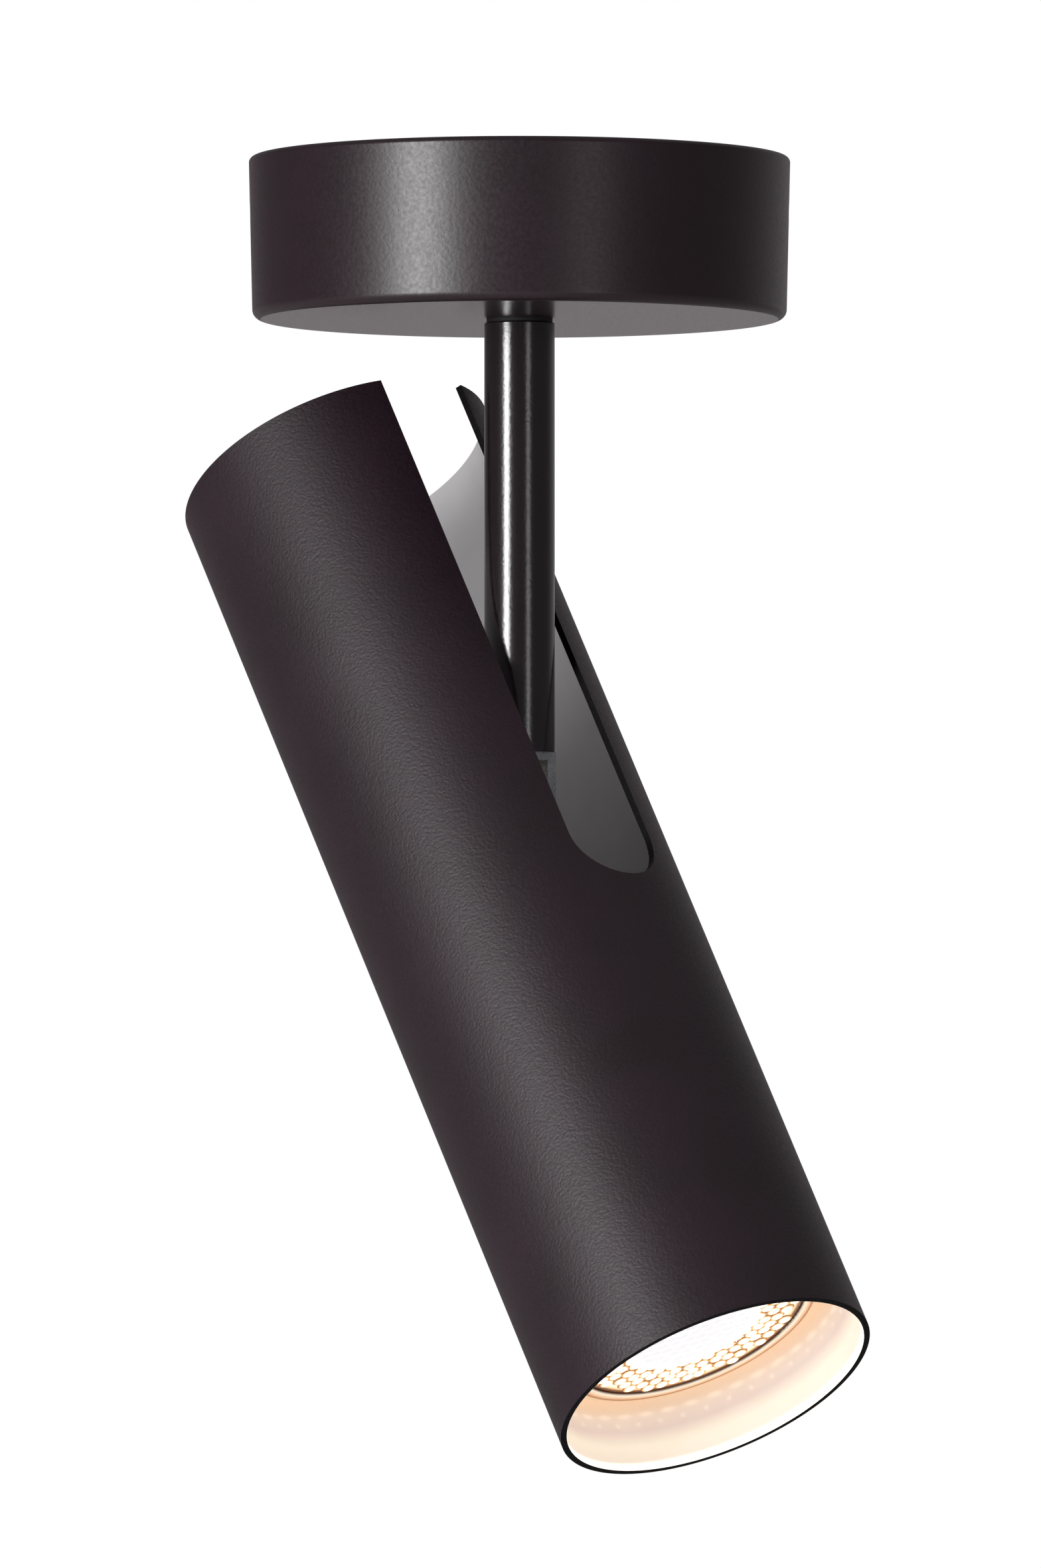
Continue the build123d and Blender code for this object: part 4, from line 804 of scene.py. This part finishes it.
# Stage: a sheet of pale paper under the lamp, a soft box on its left and a weaker one on its right.
# The camera sees the paper evenly pale and the background white; the light that they give is dimmer.
# Floor and lights are placed in metres and degrees, and the camera where the photograph's stood.
FLOOR_Z = -0.46
FLOOR_HALF = 3.0
FAR_FLOOR_HALF = 40.0
PAPER = "#e4e3e2"
PAPER_WHITES = ("#e6e5e3", "#ecebe9")
PAPER_GRAIN = 0.3  # in millimetres, as every grain
PAPER_MATT = (0.74, 0.86)
PAPER_RELIEF = 0.08
LIGHT_TARGET = Vector((0, 0, -0.13))
TUBE_TARGET = Vector((0.02, -0.03, -0.2))
ROOM_LIGHT = "#fff7fb"
ROOM_LEVEL = 0.14
BACK_WALL_WAY = (0.3, 0.95, 0.0)
BACK_WALL_FROM = 0.55
BACK_WALL_LEVEL = 0.37
SWEEP_TOP = 0.01
SWEEP_LOW = -0.05
SWEEP_LEVEL = 0.1
ABOVE_FROM = 0.45
ABOVE_FULL = 0.8
ABOVE_LEVEL = 0.16
BACKGROUND = "#ffffff"
CAMERA_PLACE = Vector((0.182, -3306.66, -268.22)) * MM
CAMERA_PITCH = 92.639
CAMERA_LENS = 412.2  # in millimetres, as the sensor
CAMERA_SENSOR = 36.0
CAMERA_REACH = 100.0


def pale_paper():
    """Matt paper: evenly pale to the camera, and plain white paper to the light that falls on it.
    From below it lets the camera see the lamp, as one sees a lamp on a ceiling."""
    material, tree, place = blank_material("pale_paper")
    clouds, grains = (MOULD_CLOUD, 3.0), (PAPER_GRAIN, 2.0)
    skin = (PAPER_MATT, PAPER_RELIEF, MOULD_GRAIN_DEPTH)
    surface = grained(tree, place, PAPER_WHITES, clouds, grains, *skin)
    sheet = add(tree, "ShaderNodeBsdfPrincipled", {**surface, "IOR": POLYMER_IOR})
    even = add(tree, "ShaderNodeEmission", {"Color": linear(PAPER), "Strength": 1.0})
    clear = add(tree, "ShaderNodeBsdfTransparent")
    side = add(tree, "ShaderNodeNewGeometry")
    under = {0: (side, "Backfacing"), 1: (even, "Emission"), 2: (clear, "BSDF")}
    seen = add(tree, "ShaderNodeMixShader", under)
    path = add(tree, "ShaderNodeLightPath")
    shown = {0: (path, "Is Camera Ray"), 1: (sheet, "BSDF"), 2: (seen, 0)}
    mixed = add(tree, "ShaderNodeMixShader", shown)
    add(tree, "ShaderNodeOutputMaterial", {"Surface": (mixed, 0)})
    return material


def paper_sheet(name, half, paper):
    """Large square of paper at the floor's level, facing up."""

    def fill(work):
        corners = ((-half, -half), (half, -half), (half, half), (-half, half))
        work.faces.new([work.verts.new((x, y, FLOOR_Z)) for x, y in corners])

    sheet = new_piece(name, fill, [paper])
    sheet.data.flip_normals()
    return sheet


# The far floor only fills the view: it neither lights the lamp nor shows in its reflections.
paper = pale_paper()
paper_sheet("floor", FLOOR_HALF, paper)
far_floor = paper_sheet("far_floor", FAR_FLOOR_HALF, paper)
far_floor.visible_diffuse = False
far_floor.visible_glossy = False
far_floor.visible_transmission = False
far_floor.visible_shadow = False


def soft_box(name, target, left, up, away, width, height, power, spread=180):
    """Area light at an angle to the left of the camera's side and above its target, aimed at it."""
    side, rise = math.radians(left), math.radians(up)
    way = Vector((-math.sin(side) * math.cos(rise), -math.cos(side) * math.cos(rise), math.sin(rise)))
    data = bpy.data.lights.new(name, "AREA")
    data.shape = "RECTANGLE"
    data.size = width
    data.size_y = height
    data.energy = power
    data.spread = math.radians(spread)
    light = bpy.data.objects.new(name, data)
    bpy.context.scene.collection.objects.link(light)
    light.location = target + way * away
    light.rotation_euler = (-way).to_track_quat("-Z", "Y").to_euler()


high_box = {"width": 0.28, "height": 0.28, "power": 0.008, "spread": 24}
soft_box("key", LIGHT_TARGET, left=43, up=3, away=1.8, width=0.54, height=1.1, power=35)
soft_box("key_high", TUBE_TARGET, left=66, up=19, away=0.8, **high_box)
soft_box("fill", LIGHT_TARGET, left=-29, up=-4, away=1.85, width=0.35, height=0.9, power=2.4)

world = bpy.data.worlds.new("studio")
bpy.context.scene.world = world
world.use_nodes = True
sky = world.node_tree
sky.nodes.clear()
path = add(sky, "ShaderNodeLightPath")
way = add(sky, "ShaderNodeTexCoord")
towards = {0: (way, "Generated"), 1: BACK_WALL_WAY}
behind = add(sky, "ShaderNodeVectorMath", towards, operation="DOT_PRODUCT")
wall_reach = {"From Min": BACK_WALL_FROM, "To Min": ROOM_LEVEL, "To Max": BACK_WALL_LEVEL}
back_wall = add(sky, "ShaderNodeMapRange", {"Value": (behind, "Value"), **wall_reach})
height = add(sky, "ShaderNodeSeparateXYZ", {"Vector": (way, "Generated")})
sweep_reach = {"From Min": SWEEP_TOP, "From Max": SWEEP_LOW, "To Max": SWEEP_LEVEL}
sweep = add(sky, "ShaderNodeMapRange", {"Value": (height, "Z"), **sweep_reach})
both = {0: (back_wall, "Result"), 1: (sweep, "Result")}
low = add(sky, "ShaderNodeMath", both, operation="ADD")
above_reach = {"From Min": ABOVE_FROM, "From Max": ABOVE_FULL, "To Max": ABOVE_LEVEL}
above = add(sky, "ShaderNodeMapRange", {"Value": (height, "Z"), **above_reach})
level = add(sky, "ShaderNodeMath", {0: (low, "Value"), 1: (above, "Result")}, operation="ADD")
room = add(sky, "ShaderNodeBackground", {"Color": linear(ROOM_LIGHT), "Strength": (level, "Value")})
plain = add(sky, "ShaderNodeBackground", {"Color": linear(BACKGROUND), "Strength": 1.0})
shown = add(sky, "ShaderNodeMixShader", {0: (path, "Is Camera Ray"), 1: (room, 0), 2: (plain, 0)})
add(sky, "ShaderNodeOutputWorld", {"Surface": (shown, 0)})

camera_data = bpy.data.cameras.new("camera")
camera_data.lens = CAMERA_LENS
camera_data.sensor_width = CAMERA_SENSOR
camera_data.clip_end = CAMERA_REACH
camera = bpy.data.objects.new("camera", camera_data)
camera.location = CAMERA_PLACE
camera.rotation_euler = (math.radians(CAMERA_PITCH), 0, 0)
bpy.context.scene.collection.objects.link(camera)
bpy.context.scene.camera = camera
bpy.context.scene.view_settings.view_transform = "Standard"
